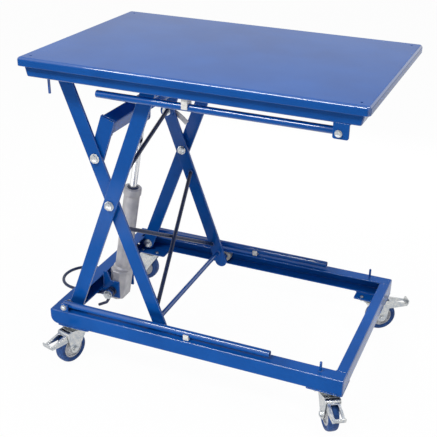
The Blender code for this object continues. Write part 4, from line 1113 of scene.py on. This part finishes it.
def caster_fork(trail, axle_height):
    """The crown and the cheeks of a fork, with the pins of its wheel and its brake."""
    near, far = FORK_CHEEK
    crown = hull(circle((0, 0), CROWN_RADIUS) + rectangle(0.0, -far, CROWN_REACH, far))
    pieces = [plate([crown, circle((0, 0), KINGPIN_HOLE)], "z", *CROWN, SHEET_RIM)]
    top = CROWN[1] - MILLIMETRE
    bosses = circle((trail, axle_height), FORK_BOSS) + circle((BRAKE_PIN_X, BRAKE_PIN_Z), BRAKE_BOSS)
    cheek = hull(bosses + [(CHEEK_INSET - CROWN_RADIUS, top), (BRAKE_PIN_X, top)])
    for side in SIDES.values():
        pieces.append(plate([cheek], "y", side * near, side * far, SHEET_RIM))
    pins = ((AXLE_RADIUS, trail, axle_height), (BRAKE_PIN_RADIUS, BRAKE_PIN_X, BRAKE_PIN_Z))
    for radius, x, z in pins:
        pieces.append(turned(rod_outline(radius, 0.0, 2 * near), (x, -near, z), ACROSS, AXLE_SIDES))
    return joined(*pieces)


print("a fork's cheeks stand", round(2 * FORK_CHEEK[0] / MILLIMETRE, 1), "mm apart")

# %% [markdown]
# The brake pedal is a frame of sheet with a raised lip to tread on, a flange down each side, and a barrel on
# its pin. It is made lying flat.

# %% Write the brake pedal
BRAKE_LENGTH = 0.067
BRAKE_HALF = 0.0175
BRAKE_SHEET = 0.0032
BRAKE_RIM = 0.0075
BRAKE_CORNERS = (0.002, 0.005, 0.005, 0.002)
BRAKE_WINDOW_START = 0.0095
BRAKE_WINDOW_CORNER = 0.004
BRAKE_LIP = 0.013
BRAKE_LIP_CORNERS = (SHEET_RIM, SHEET_RIM, 0.005, 0.005)
BRAKE_TIP = BRAKE_LENGTH - BRAKE_SHEET / 2
BRAKE_FLANGE = ((0.0, 0.0008), (-0.003, -0.007), (0.005, -0.022), (0.012, -0.022), (BRAKE_TIP, -0.005),
                (BRAKE_TIP, 0.0008))
BRAKE_FLANGE_CORNER = 0.002
BRAKE_FLANGE_SHEET = 0.0019
BRAKE_FLANGE_RIM = 0.0005
BRAKE_BARREL = ring_outline(0.0033, 0.0055, BRAKE_HALF)
BRAKE_BARREL_EDGE = 0.0004
BRAKE_BARREL_SIDES = 24


def brake_pedal():
    """A brake pedal, laid flat with its pin at the origin."""
    tread = rectangle(0.0, -BRAKE_HALF, BRAKE_LENGTH, BRAKE_HALF)
    window_half = BRAKE_HALF - BRAKE_RIM
    window = rectangle(BRAKE_WINDOW_START, -window_half, BRAKE_LENGTH - BRAKE_RIM, window_half)
    loops = [filleted(tread, BRAKE_CORNERS), filleted(window, BRAKE_WINDOW_CORNER)]
    lip = filleted(rectangle(-BRAKE_HALF, -BRAKE_SHEET / 2, BRAKE_HALF, BRAKE_LIP), BRAKE_LIP_CORNERS)
    pieces = [plate(loops, "z", -BRAKE_SHEET / 2, BRAKE_SHEET / 2, SHEET_RIM),
              plate([lip], "x", BRAKE_LENGTH - BRAKE_SHEET, BRAKE_LENGTH, SHEET_RIM)]
    flange = filleted(BRAKE_FLANGE, BRAKE_FLANGE_CORNER)
    for side in SIDES.values():
        near = side * (BRAKE_HALF - BRAKE_FLANGE_SHEET)
        pieces.append(plate([flange], "y", near, side * (BRAKE_HALF + RUNNING), BRAKE_FLANGE_RIM))
    barrel = filleted(BRAKE_BARREL, BRAKE_BARREL_EDGE, steps=2)
    return joined(*pieces, turned(barrel, ORIGIN, ACROSS, BRAKE_BARREL_SIDES, ring=True))


print("a brake pedal is", round(BRAKE_LENGTH / MILLIMETRE), "mm long")

# %% [markdown]
# Now every caster is turned to the way it points, which is from its swivel's axis to its wheel's. The plate
# is bolted square to the base and doesn't turn. The pedal slopes down from the fork.

# %% Stand the casters up
BRAKE_SLOPE = math.radians(14.0)

brake_stand = Matrix.Translation((BRAKE_PIN_X, 0.0, BRAKE_PIN_Z)) @ Matrix.Rotation(BRAKE_SLOPE, 4, "Y")
stands = {}
for corner in CORNERS:
    swivel = pivot["swivel_" + corner]
    wheel = pivot["wheel_" + corner + "_spin"]
    heading = math.atan2(wheel.y - swivel.y, wheel.x - swivel.x)
    ground = Matrix.Translation((swivel.x, swivel.y, 0.0))
    stands[corner] = ground @ Matrix.Rotation(heading, 4, "Z")
    stand_for("caster_plate_" + corner, "cut", moved(caster_plate(), ground), "zinc")
    fork = caster_fork((wheel - swivel).xy.length, wheel.z)
    stand_for("caster_fork_" + corner, "bent", moved(fork, stands[corner]), "zinc")
    stand_for("brake_pedal_" + corner, "bent", moved(brake_pedal(), stands[corner] @ brake_stand), "zinc")
print("built", len(stands), "casters")

# %% [markdown]
# Wheels
#
# Wheels, rollers, tubes and the cylinder are made on a lathe or could be. So is the model of them here: half
# an outline, with its corners rounded, spins about the axis that the moving joint already has. A wheel is the
# same on both sides, so only the upper half of its outline is written down.

# %% Turn the wheels
TYRE_RADIUS = 0.0475
TYRE_SIDE = [(0.0320, 0.0130), (0.0365, 0.0128), (0.0372, 0.0146), (0.0435, 0.0150)]
TYRE_ROUND = 0.0018
TREAD_HALF = 0.0105
TREAD_CROWN = 0.0010
TREAD_STEPS = 6
HUB_SIDE = [(0.0053, 0.0175), (0.0085, 0.0175), (0.0092, 0.0163), (0.0130, 0.0163), (0.0150, 0.0105),
            (0.0272, 0.0082), (0.0280, 0.0130), (0.0317, 0.0130)]
HUB_ROUND = 0.0009
WHEEL_SIDES = 72


def mirror_image(half):
    """The lower half of a profile, from its upper half."""
    return [(radius, -height) for radius, height in reversed(half)]


tread = []
for step in range(TREAD_STEPS):
    share = 1 - step / TREAD_STEPS
    tread.append((TYRE_RADIUS - TREAD_CROWN * share ** 2, TREAD_HALF * share))
tyre_half = TYRE_SIDE + tread[:1]
tyre_profile = filleted(tyre_half + mirror_image(tyre_half), TYRE_ROUND)
halfway = len(tyre_profile) // 2
tyre_profile[halfway:halfway] = tread[1:] + [(TYRE_RADIUS, 0.0)] + mirror_image(tread[1:])
hub_profile = filleted(HUB_SIDE + mirror_image(HUB_SIDE), HUB_ROUND, steps=3)
for corner in CORNERS:
    joint = "wheel_" + corner + "_spin"
    for piece, profile, finish in (("caster_tyre_", tyre_profile, "blue_tyre"),
                                   ("caster_hub_", hub_profile, "grey_hub")):
        mesh = turned(profile, pivot[joint], spin_axis[joint], WHEEL_SIDES, ring=True)
        stand_for(piece + corner, "turned", mesh, finish)
print("turned", len(CORNERS), "wheels with", len(tyre_profile), "points round each tyre")

# %% [markdown]
# Round bars
#
# Five round bars tie the legs of a pair together, some of them at a slant. Their lines aren't joints, so each
# is read from the model's piece: the middle of the corners at one end, the middle of those at the other.

# %% Turn the bars
BARS = {"outer_tie_bar": "blue_paint", "inner_crossbar": "blue_paint", "cross_brace_a": "dark_bar",
        "cross_brace_b": "dark_bar", "upper_brace": "dark_bar"}
END_ROUND = 0.0012
BAR_SIDES = 32


def bar_line(node):
    """The two ends of a round bar that runs across the table, and its radius."""
    shape = merged_copy(node)
    places = [vertex.co.copy() for vertex in shape.verts]
    shape.free()
    middle = sum(place.y for place in places) / len(places)
    groups = [[place for place in places if (place.y >= middle) == far] for far in (False, True)]
    start, end = (sum(group, Vector()) / len(group) for group in groups)
    return start, end, max((place - start).length for place in groups[0])


bar_lines = {node: bar_line(node) for node in BARS}
for node, (start, end, radius) in bar_lines.items():
    profile = filleted(rod_outline(radius, 0.0, (end - start).length), END_ROUND, steps=3, closed=False)
    stand_for(node, "turned", turned(profile, start, end - start, BAR_SIDES), BARS[node])
print("turned", len(BARS), "bars")

# %% [markdown]
# Rollers and struts
#
# The moving ends of the legs run on rollers inside the rails. The struts are tubes that lie along the rails
# and swing out to hold the raised table up. Their open ends are bored as deep as an eye can see.

# %% Turn the rollers and struts
ROLLER_BORE = 0.0083
ROLLER_ROUND = 0.0022
ROLLER_SIDES = 56
STRUT_BORE = 0.0072
STRUT_BORE_DEPTH = 0.060
STRUT_SIDES = 40

for end in SIDES:
    for level in ("upper", "lower"):
        node = level + "_roller_" + end
        low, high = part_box(node)
        outline = ring_outline(ROLLER_BORE, (high.z - low.z) / 2, (high.y - low.y) / 2)
        mesh = turned(filleted(outline, ROLLER_ROUND), (low + high) / 2, ACROSS, ROLLER_SIDES, ring=True)
        stand_for(node, "turned", mesh, "cream_roller")
    for level, along in (("base", 1), ("table", -1)):
        node = level + "_strut_" + end
        low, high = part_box(node)
        length = high.x - low.x
        start = Vector((low.x if along > 0 else high.x, (low.y + high.y) / 2, (low.z + high.z) / 2))
        bottom = length - STRUT_BORE_DEPTH
        outline = [(0.0, bottom), (STRUT_BORE, bottom), (STRUT_BORE, length)]
        outline += rod_outline((high.z - low.z) / 2, 0.0, length)[1:]
        mesh = turned(filleted(outline, END_ROUND, steps=3, closed=False), start, (along, 0, 0), STRUT_SIDES)
        stand_for(node, "turned", mesh, "blue_paint")
print("turned", 2 * len(SIDES), "rollers and", 2 * len(SIDES), "struts")

# %% [markdown]
# The foot pump
#
# The lifting cylinder stands in an eight-sided cast foot. Castings have soft edges and a grainy skin, and a
# raised band runs round this one's top. The barrel is a drawn tube with a screwed collar, and a black wiper
# ring keeps dirt off the polished rod. All of it is made upright and then leaned to the line on which the rod
# slides.

# %% Cast the foot
FOOT_HALF_LENGTH = 0.0275
FOOT_HALF_WIDTH = 0.042
FOOT_CHAMFER = 0.016
FOOT_CORNER = 0.0025
FOOT_LOW = -0.040
FOOT_HIGH = 0.062
FOOT_BAND = 0.018
FOOT_BAND_STEP = 0.0018
FOOT_RIM = 0.003

pump_stand = Matrix.Translation(pump_place) @ Matrix.Rotation(math.atan2(pump_line.x, pump_line.z), 4, "Y")


def octagon(inset):
    """The foot's outline, set in by a distance."""
    x = FOOT_HALF_LENGTH - inset
    y = FOOT_HALF_WIDTH - inset
    near_x = x - FOOT_CHAMFER
    near_y = y - FOOT_CHAMFER
    corners = [(x, near_y), (near_x, y), (-near_x, y), (-x, near_y), (-x, -near_y), (-near_x, -y),
               (near_x, -y), (x, -near_y)]
    return filleted(corners, FOOT_CORNER, steps=3)


foot = joined(plate([octagon(FOOT_BAND_STEP)], "z", FOOT_LOW, FOOT_HIGH - FOOT_BAND / 2, FOOT_RIM),
              plate([octagon(0.0)], "z", FOOT_HIGH - FOOT_BAND, FOOT_HIGH, FOOT_RIM))
add_piece("pump_foot", moved(foot, pump_stand), "pump", "grey_casting", ["pump_cylinder"])
print("cast a foot", round(FOOT_HIGH - FOOT_LOW, 3), "m tall")

# %% [markdown]
# The barrel's outline is written as steps from its radius, above the foot and at the collar, and the wiper
# ring's as heights above the barrel, so that both follow when the pump is made longer.

# %% Turn the barrel and the wiper
ROD_RADIUS = 0.011
ROD_HOLE = ROD_RADIUS + RUNNING
BARREL_RADIUS = 0.024
BARREL_TOP = 0.345
BARREL_SKIRT = ((0.006, -FOOT_BAND), (0.005, 0.002), (0.0, 0.008))
BARREL_GROOVE = ((0.0, -0.003), (-0.001, -0.002), (-0.001, 0.0))
BARREL_ROUND = 0.0012
BARREL_SIDES = 72
COLLAR_RADIUS = 0.027
COLLAR_HEIGHT = 0.022
COLLAR_CHAMFER = 0.002
WIPER = ((ROD_HOLE, -0.002), (0.0172, -0.002), (0.0165, 0.0022), (ROD_HOLE, 0.0030))
WIPER_ROUND = 0.0008

collar_low = BARREL_TOP - COLLAR_HEIGHT
barrel_profile = [(ROD_HOLE, FOOT_HIGH - FOOT_BAND)]
barrel_profile += [(BARREL_RADIUS + wider, FOOT_HIGH + higher) for wider, higher in BARREL_SKIRT]
barrel_profile += [(BARREL_RADIUS + wider, collar_low + higher) for wider, higher in BARREL_GROOVE]
barrel_profile += [(COLLAR_RADIUS, collar_low), (COLLAR_RADIUS, BARREL_TOP - COLLAR_CHAMFER),
                   (COLLAR_RADIUS - COLLAR_CHAMFER, BARREL_TOP), (ROD_HOLE, BARREL_TOP)]
barrel = turned(filleted(barrel_profile, BARREL_ROUND, steps=3), ORIGIN, UP, BARREL_SIDES, ring=True)
add_piece("pump_barrel", moved(barrel, pump_stand), "pump", "grey_casting")
wiper_profile = [(radius, BARREL_TOP + higher) for radius, higher in WIPER]
wiper = turned(filleted(wiper_profile, WIPER_ROUND, steps=3), ORIGIN, UP, ring=True)
add_piece("rod_wiper", moved(wiper, pump_stand), "pump", "dark_bar")
print("the pump stands", round(BARREL_TOP - FOOT_LOW, 3), "m tall")

# %% [markdown]
# The piston rod ends in an eye with a hexagon nut under it. The rod is polished and the eye is plated, so
# they are two pieces on one body.

# %% Turn the rod and its eye
ROD_START = 0.290
EYE_HALF = 0.013
EYE_ROUND = 0.002
NUT_RADIUS = 0.0145
NUT_BELOW_PIN = (0.0223, 0.0130)
NUT_ROUND = 0.0018

rod = turned(rod_outline(ROD_RADIUS, ROD_START, rod_length), ORIGIN, UP)
stand_for("piston_rod", "turned", moved(rod, pump_stand), "chrome_rod")
eye_outline = rod_outline(EYE_RADIUS, -EYE_HALF, EYE_HALF)
eye = turned(filleted(eye_outline, EYE_ROUND, steps=3, closed=False), rod_pin, ACROSS)
nut_outline = rod_outline(NUT_RADIUS, *(rod_length - below for below in NUT_BELOW_PIN))
nut = turned(filleted(nut_outline, NUT_ROUND, steps=3, closed=False), ORIGIN, UP, HEXAGON)
add_piece("rod_eye", joined(eye, moved(nut, pump_stand)), "piston", "zinc")
print("the rod shows", round(rod_length - BARREL_TOP, 3), "m")

# %% [markdown]
# Small parts on points: bolts
#
# A table like this has dozens of bolts of one shape and a few sizes. A loop could build them one by one,
# but Geometry Nodes copies one bolt onto a list of points, so that a change to it changes all. Each point
# carries an arrow called aim, along which its bolt looks, and a size. A random turn with a fixed seed stops
# the heads from standing all the same way, because nobody lines up bolts by hand.

# %% Write the tree helpers
def new_tree(name, sockets):
    """An empty node tree that takes and gives geometry, with named number inputs."""
    tree = bpy.data.node_groups.new(name, "GeometryNodeTree")
    tree.interface.new_socket("Geometry", in_out="INPUT", socket_type="NodeSocketGeometry")
    for label, kind in sockets.items():
        tree.interface.new_socket(label, in_out="INPUT", socket_type=kind)
    tree.interface.new_socket("Material", in_out="INPUT", socket_type="NodeSocketMaterial")
    tree.interface.new_socket("Geometry", in_out="OUTPUT", socket_type="NodeSocketGeometry")
    return tree, tree.nodes.new("NodeGroupInput").outputs


def finish_tree(tree, geometry, material):
    """Turns copies into one mesh, gives it its finish and hands it out."""
    real = chain(tree, "GeometryNodeRealizeInstances", Geometry=geometry)
    coat = chain(tree, "GeometryNodeSetMaterial", Geometry=real.outputs[0], Material=material)
    chain(tree, "NodeGroupOutput", Geometry=coat.outputs[0])


def grown(places, edges, tree, finish, values, attributes=()):
    """The mesh that a node tree makes from points or lines. Its inputs are set by their identifiers."""
    source = bpy.data.meshes.new("source")
    source.from_pydata(places, edges, [])
    for label, kind, field, numbers in attributes:
        source.attributes.new(label, kind, "POINT").data.foreach_set(field, numbers)
    obj = placed("source", source)
    modifier = obj.modifiers.new("nodes", "NODES")
    modifier.node_group = tree
    values = {**values, "Material": finishes[finish]}
    for item in tree.interface.items_tree:
        if item.in_out == "INPUT" and item.name in values:
            modifier[item.identifier] = values[item.name]
    return soft_shaded(evaluated(obj))


print(len(finishes), "finishes can be handed to a tree")

# %% [markdown]
# A bolt is a washer, a six-sided head and a short cone on top of it, stacked in units of the head's radius.
# The tree aims each copy along its point's arrow and then spins it about that arrow.

# %% Build the bolt tree
BOLT_SEED = 7
HEAD_HEIGHT = 0.55
HEAD_CHAMFER = 0.09
HEAD_TOP = 0.84
WASHER_RADIUS = 1.16
WASHER_HEIGHT = 0.16
WASHER_SIDES = 32


def named(tree, name, kind):
    """An attribute that the points carry."""
    node = chain(tree, "GeometryNodeInputNamedAttribute")
    node.data_type = kind
    node.inputs["Name"].default_value = name
    return node.outputs["Attribute"]


bolts, bolt_in = new_tree("bolts_on_points", {"Seed": "NodeSocketInt"})
washer = chain(bolts, "GeometryNodeMeshCylinder", Vertices=WASHER_SIDES, Radius=WASHER_RADIUS,
               Depth=WASHER_HEIGHT)
head = chain(bolts, "GeometryNodeMeshCylinder", Vertices=HEXAGON, Radius=1.0, Depth=HEAD_HEIGHT)
crown = chain(bolts, "GeometryNodeMeshCone", Vertices=HEXAGON, Radius_Top=HEAD_TOP, Radius_Bottom=1.0,
              Depth=HEAD_CHAMFER)
stack = chain(bolts, "GeometryNodeJoinGeometry")
for part, height in ((washer, WASHER_HEIGHT / 2), (head, WASHER_HEIGHT + HEAD_HEIGHT / 2),
                     (crown, WASHER_HEIGHT + HEAD_HEIGHT)):
    raised = chain(bolts, "GeometryNodeTransform", Geometry=part.outputs["Mesh"],
                   Translation=(0.0, 0.0, height))
    bolts.links.new(raised.outputs[0], stack.inputs[0])
aim = chain(bolts, "FunctionNodeAlignRotationToVector", Vector=named(bolts, "aim", "FLOAT_VECTOR"))
aim.axis = "Z"
spin = chain(bolts, "FunctionNodeRandomValue", Seed=bolt_in["Seed"])
spin.inputs[3].default_value = math.tau
spun = chain(bolts, "FunctionNodeAxisAngleToRotation", Axis=UP, Angle=spin.outputs[1])
facing = chain(bolts, "FunctionNodeRotateRotation", Rotation=aim.outputs[0], Rotate_By=spun.outputs[0])
facing.rotation_space = "LOCAL"
copies = chain(bolts, "GeometryNodeInstanceOnPoints", Points=bolt_in["Geometry"], Instance=stack.outputs[0],
               Rotation=facing.outputs[0], Scale=named(bolts, "size", "FLOAT"))
finish_tree(bolts, copies.outputs[0], bolt_in["Material"])
print("bolt tree has", len(bolts.nodes), "nodes")

# %% [markdown]
# The list of bolts says where each one sits, which way it looks and how large it is. The places come from the
# joints again: a strut turns about its bolt, and a wheel about its axle.

# %% List the bolts
STRUT_BOLT_SIZE = 0.0076
STRUT_STOP_SIZE = 0.0078
PIVOT_SIZE = 0.0135
CENTRE_SIZE = 0.0118
ARM_SIZE = 0.0116
EYE_BOLT_SIZE = 0.0100
PUMP_SIZE = 0.0118
AXLE_SIZE = 0.0080
PLATE_BOLT_SIZE = 0.0052
PLATE_BOLT_REACH = 0.027
bolt_list = []


def bolt(body, place, direction, size):
    """Notes one bolt."""
    bolt_list.append((body, Vector(place), Vector(direction), size))


for end, side in SIDES.items():
    hinge = pivot["base_strut_" + end + "_swing"]
    latch = pivot["table_strut_" + end + "_swing"]
    for body, middle, distance, outward, size in (
            ("base", hinge, RAIL_OUTER, 1, STRUT_BOLT_SIZE),
            ("base", hinge, STRUT_STOP, -1, STRUT_STOP_SIZE),
            ("table", latch, RAIL_OUTER, 1, STRUT_BOLT_SIZE),
            ("table", latch, STRUT_STOP, -1, STRUT_STOP_SIZE),
            ("base", pivot["lift"], OUTER_LEG[0] - RUNNING, -1, PIVOT_SIZE),
            ("table", pivot["table_level"], INNER_LEG[0] - RUNNING, -1, PIVOT_SIZE),
            ("outer_frame", pivot["scissor"], OUTER_LEG[1] + RUNNING, 1, CENTRE_SIZE),
            ("outer_frame", pivot["scissor"], INNER_LEG[0] - RUNNING, -1, CENTRE_SIZE),
            ("inner_frame", standing(arm_bolt), INNER_LEG[1], 1, ARM_SIZE),
            ("inner_frame", standing(arm_bolt), ARM[0], -1, ARM_SIZE),
            ("inner_frame", rod_pin, BEAM_LUG[1], 1, EYE_BOLT_SIZE)):
        bolt(body, (middle.x, across(side, distance), middle.z), (0, side * outward, 0), size)
for cheek, outward in zip(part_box("pump_bracket"), (-1, 1)):
    bolt("base", (pump_place.x, cheek.y, pump_place.z), (0, outward, 0), PUMP_SIZE)
for corner in CORNERS:
    axle_line = stands[corner].to_3x3() @ Vector(ACROSS)
    wheel = pivot["wheel_" + corner + "_spin"]
    swivel = pivot["swivel_" + corner]
    inward = -SIDES[corner.split("_")[0]]
    for x_side in (-1, 1):
        bolt("fork_" + corner, wheel + axle_line * (x_side * FORK_CHEEK[1]), axle_line * x_side, AXLE_SIZE)
        x = swivel.x + x_side * PLATE_BOLT_REACH
        bolt("base", (x, swivel.y + inward * PLATE_BOLT_REACH, base_low), UP, PLATE_BOLT_SIZE)
        for y_side in (-1, 1):
            y = swivel.y + y_side * PLATE_BOLT_REACH
            bolt("base", (x, y, CASTER_PLATE_LOW), (0, 0, -1), PLATE_BOLT_SIZE)
print("listed", len(bolt_list), "bolts")

# %% [markdown]
# Bolts on one body become one mesh, because a mesh can only ride on one body.

# %% Set the bolts
bolted = sorted({row[0] for row in bolt_list})
for body in bolted:
    rows = [row for row in bolt_list if row[0] == body]
    aims = ("aim", "FLOAT_VECTOR", "vector", [number for row in rows for number in row[2]])
    sizes = ("size", "FLOAT", "value", [row[3] for row in rows])
    mesh = grown([row[1] for row in rows], [], bolts, "zinc", {"Seed": BOLT_SEED}, (aims, sizes))
    add_piece("bolts_" + body, mesh, body, "zinc")

# %% [markdown]
# Weld beads
#
# A weld is a row of small drops that froze one over the other. A plain swept tube would look too even. The
# tree walks along a path, sets a drop at every step, and varies their size. The beads lie under the paint,
# so they take its colour.

# %% Build the weld tree
WELD_SEED = 11
DROP_RADIUS = 0.0021
DROP_STEP = 0.0026
DROP_SCALE = (0.8, 1.15)
DROP_ROUNDNESS = 2

welds, weld_in = new_tree("weld_beads", {"Drop Radius": "NodeSocketFloat", "Drop Step": "NodeSocketFloat",
                                         "Seed": "NodeSocketInt"})
path = chain(welds, "GeometryNodeMeshToCurve", Mesh=weld_in["Geometry"])
steps = chain(welds, "GeometryNodeResampleCurve", "LENGTH", Curve=path.outputs[0],
              Length=weld_in["Drop Step"])
drop = chain(welds, "GeometryNodeMeshIcoSphere", Radius=weld_in["Drop Radius"], Subdivisions=DROP_ROUNDNESS)
vary = chain(welds, "FunctionNodeRandomValue", Seed=weld_in["Seed"])
vary.inputs[2].default_value, vary.inputs[3].default_value = DROP_SCALE
drops = chain(welds, "GeometryNodeInstanceOnPoints", Points=steps.outputs[0], Instance=drop.outputs["Mesh"],
              Scale=vary.outputs[1])
finish_tree(welds, drops.outputs[0], weld_in["Material"])
print("weld tree has", len(welds.nodes), "nodes")

# %% [markdown]
# Beads run where a real table is welded: round the ends of bars and pins, along the feet of the lugs, and in
# the corners where cross-members meet the rails.

# %% Note where beads run
WELD_SIDES = 20
CROSS_DEPTH = 0.030
TABLE_END_DEPTHS = (0.036, 0.030)
BRACKET_HALF = 0.049
BRACKET_DEPTH = 0.040
weld_paths = {"base": [], "outer_frame": [], "inner_frame": [], "table": []}


def weld_round(body, middle, radius, direction):
    """Notes a bead round a bar's end."""
    turn = Vector(direction).to_track_quat("Z", "Y")
    ring = circle((0, 0), radius, WELD_SIDES)
    weld_paths[body].append([Vector(middle) + turn @ Vector((x, y, 0.0)) for x, y in ring + ring[:1]])


def weld_line(body, *places):
    """Notes a bead along a line."""
    weld_paths[body].append([Vector(place) for place in places])


for node, (start, end, radius) in bar_lines.items():
    for place in (start, end):
        weld_round(body_of[node], place, radius, ACROSS)
hinge = pivot["base_strut_front_swing"]
latch = pivot["table_strut_front_swing"]
cross_face = base_right - CROSS_DEPTH
bracket_face = base_left + BRACKET_DEPTH
for side in SIDES.values():
    lug_y = across(side, RAIL_OUTER - LUG_THICKNESS)
    weld_line("base", *[(hinge.x + half, lug_y, base_high) for half in (-BASE_LUG_HALF, BASE_LUG_HALF)])
    weld_line("table", *[(latch.x + reach, lug_y, table_low) for reach in (-TABLE_LUG_LEFT, TABLE_LUG_RIGHT)])
    pin_y = across(side, RAIL_MIDDLE)
    weld_round("base", (latch.x, pin_y, base_high), PIN_RADIUS, UP)
    weld_round("table", (hinge.x, pin_y, table_low), PIN_RADIUS, UP)
    seam = across(side, RAIL_INNER)
    weld_line("base", (cross_face, seam, base_low), (cross_face, seam, base_high))
    weld_line("base", (base_right - CORNER_PLATE[0], seam, base_low), (cross_face, seam, base_low))
    for end_x, inward in ((table_right, -1), (table_left, 1)):
        low_x, high_x = (end_x + inward * depth for depth in TABLE_END_DEPTHS)
        weld_line("table", (low_x, seam, table_low), (high_x, seam, table_high))
    square = beam_corners(BEAM_HALF)
    weld_line("inner_frame", *[(corner.x, across(side, ARM[0]), corner.y) for corner in square + square[:1]])
    cheek_y = across(side, BRACKET_HALF)
    weld_line("base", (base_left, cheek_y, base_low), (bracket_face, cheek_y, base_low),
              (bracket_face, cheek_y, base_high))
print("noted", sum(len(paths) for paths in weld_paths.values()), "beads")

# %% [markdown]
# The beads of a body are lines of one mesh, and the tree turns it into drops.

# %% Lay the beads
weld_values = {"Drop Radius": DROP_RADIUS, "Drop Step": DROP_STEP, "Seed": WELD_SEED}
for body, paths in weld_paths.items():
    places = []
    edges = []
    for line in paths:
        edges += [(len(places) + i, len(places) + i + 1) for i in range(len(line) - 1)]
        places += line
    add_piece("welds_" + body, grown(places, edges, welds, "blue_paint", weld_values), body, "blue_paint")

# %% [markdown]
# Bent bars
#
# The pedal loop and the release lever are bent from round bar, and the grey stay between the rear legs from
# a flat strip. A curve with a round bevel could make the bars but not the strip, so one tree serves all
# three: it rounds the bends of a path and sweeps a section along it.

# %% Build the bar tree
SECTION_ROUND = 0.499
BEND_POINTS = 6
SECTION_POINTS = 5

bars, bar_in = new_tree("bent_bars", {"Width": "NodeSocketFloat", "Height": "NodeSocketFloat",
                                      "Bend": "NodeSocketFloat"})
path = chain(bars, "GeometryNodeMeshToCurve", Mesh=bar_in["Geometry"])
bent = chain(bars, "GeometryNodeFilletCurve", "POLY", Curve=path.outputs[0], Radius=bar_in["Bend"],
             Count=BEND_POINTS, Limit_Radius=True)
section = chain(bars, "GeometryNodeCurvePrimitiveQuadrilateral", Width=bar_in["Width"],
                Height=bar_in["Height"])
smaller = calculated(bars, "MINIMUM", bar_in["Width"], bar_in["Height"])
soft = chain(bars, "GeometryNodeFilletCurve", "POLY", Curve=section.outputs[0],
             Radius=calculated(bars, "MULTIPLY", smaller, SECTION_ROUND), Count=SECTION_POINTS)
swept = chain(bars, "GeometryNodeCurveToMesh", Curve=bent.outputs[0], Profile_Curve=soft.outputs[0],
              Fill_Caps=True)
finish_tree(bars, swept.outputs[0], bar_in["Material"])


def bent_bar(places, width, height, bend, finish):
    """A bar along a path."""
    edges = [(i, i + 1) for i in range(len(places) - 1)]
    return grown(places, edges, bars, finish, {"Width": width, "Height": height, "Bend": bend})


print("bar tree has", len(bars.nodes), "nodes")

# %% [markdown]
# The pedal loop starts at the pump's pivot pin, runs down and out through a wide bow, and comes back on the
# other side. The lever hangs on the same pin. Both end in eyes that turn on it.

# %% Bend the pedal, the lever and the strap
PEDAL_BAR = 0.0048
PEDAL_LEVEL = 0.015
PEDAL_HALF = 0.072
PEDAL_REACH = 0.126
PEDAL_LINE = 0.0578
PEDAL_START = 0.010
PEDAL_KNEE = 0.040
PEDAL_BEND = 0.020
PEDAL_BOW_STEPS = 24
RELEASE_BAR = 0.0046
RELEASE_LINE = 0.0712
RELEASE_PATH = ((0.0, -0.013), (-0.012, -0.036), (-0.040, -0.052))
RELEASE_BEND = 0.010
LEVER_EYE = ring_outline(0.0083, 0.015, 0.0035)
LEVER_EYE_EDGE = 0.0009
LEVER_EYE_SIDES = 40
STRAP_SIZE = (0.0030, 0.017)
STRAP_PLANE = 0.227
STRAP_PATH = ((-0.0510, 0.1220), (-0.0340, 0.1190), (-0.0171, 0.1103), (-0.0002, 0.0983), (0.0133, 0.0858))
STRAP_BEND = 0.004


def eye_ring(distance):
    """The eye of a lever on the pump's pivot pin."""
    place = (pump_place.x, middle_y + distance, pump_place.z)
    return turned(filleted(LEVER_EYE, LEVER_EYE_EDGE, steps=3), place, ACROSS, LEVER_EYE_SIDES, ring=True)


level = base_low - PEDAL_LEVEL
arm_path = [(pump_place.x - PEDAL_START, PEDAL_LINE, pump_place.z),
            (base_left + PEDAL_KNEE, PEDAL_LINE, level), (base_left, PEDAL_HALF, level)]
bow = arc((base_left - PEDAL_REACH + PEDAL_HALF, 0.0), PEDAL_HALF, QUARTER_TURN, math.pi, PEDAL_BOW_STEPS)
route = arm_path + [(x, y, level) for x, y in bow] + [(x, -y, z) for x, y, z in reversed(arm_path)]
route = [(x, middle_y + y, z) for x, y, z in route]
loop = bent_bar(route, 2 * PEDAL_BAR, 2 * PEDAL_BAR, PEDAL_BEND, "dark_bar")
stand_for("foot_pedal", "bent", joined(loop, eye_ring(PEDAL_LINE), eye_ring(-PEDAL_LINE)), "dark_bar")

lever_path = [(pump_place.x + x, middle_y - RELEASE_LINE, pump_place.z + z) for x, z in RELEASE_PATH]
lever = bent_bar(lever_path, 2 * RELEASE_BAR, 2 * RELEASE_BAR, RELEASE_BEND, "dark_bar")
stand_for("release_lever", "bent", joined(lever, eye_ring(-RELEASE_LINE)), "dark_bar")

strap_path = [(centre.x + x, across(1, STRAP_PLANE), centre.y + z) for x, z in STRAP_PATH]
strap = bent_bar(strap_path, *STRAP_SIZE, STRAP_BEND, "grey_casting")
add_piece("stay_strap", strap, "outer_frame", "grey_casting")
print("bent a pedal loop of", len(route), "points, a lever and a strap")
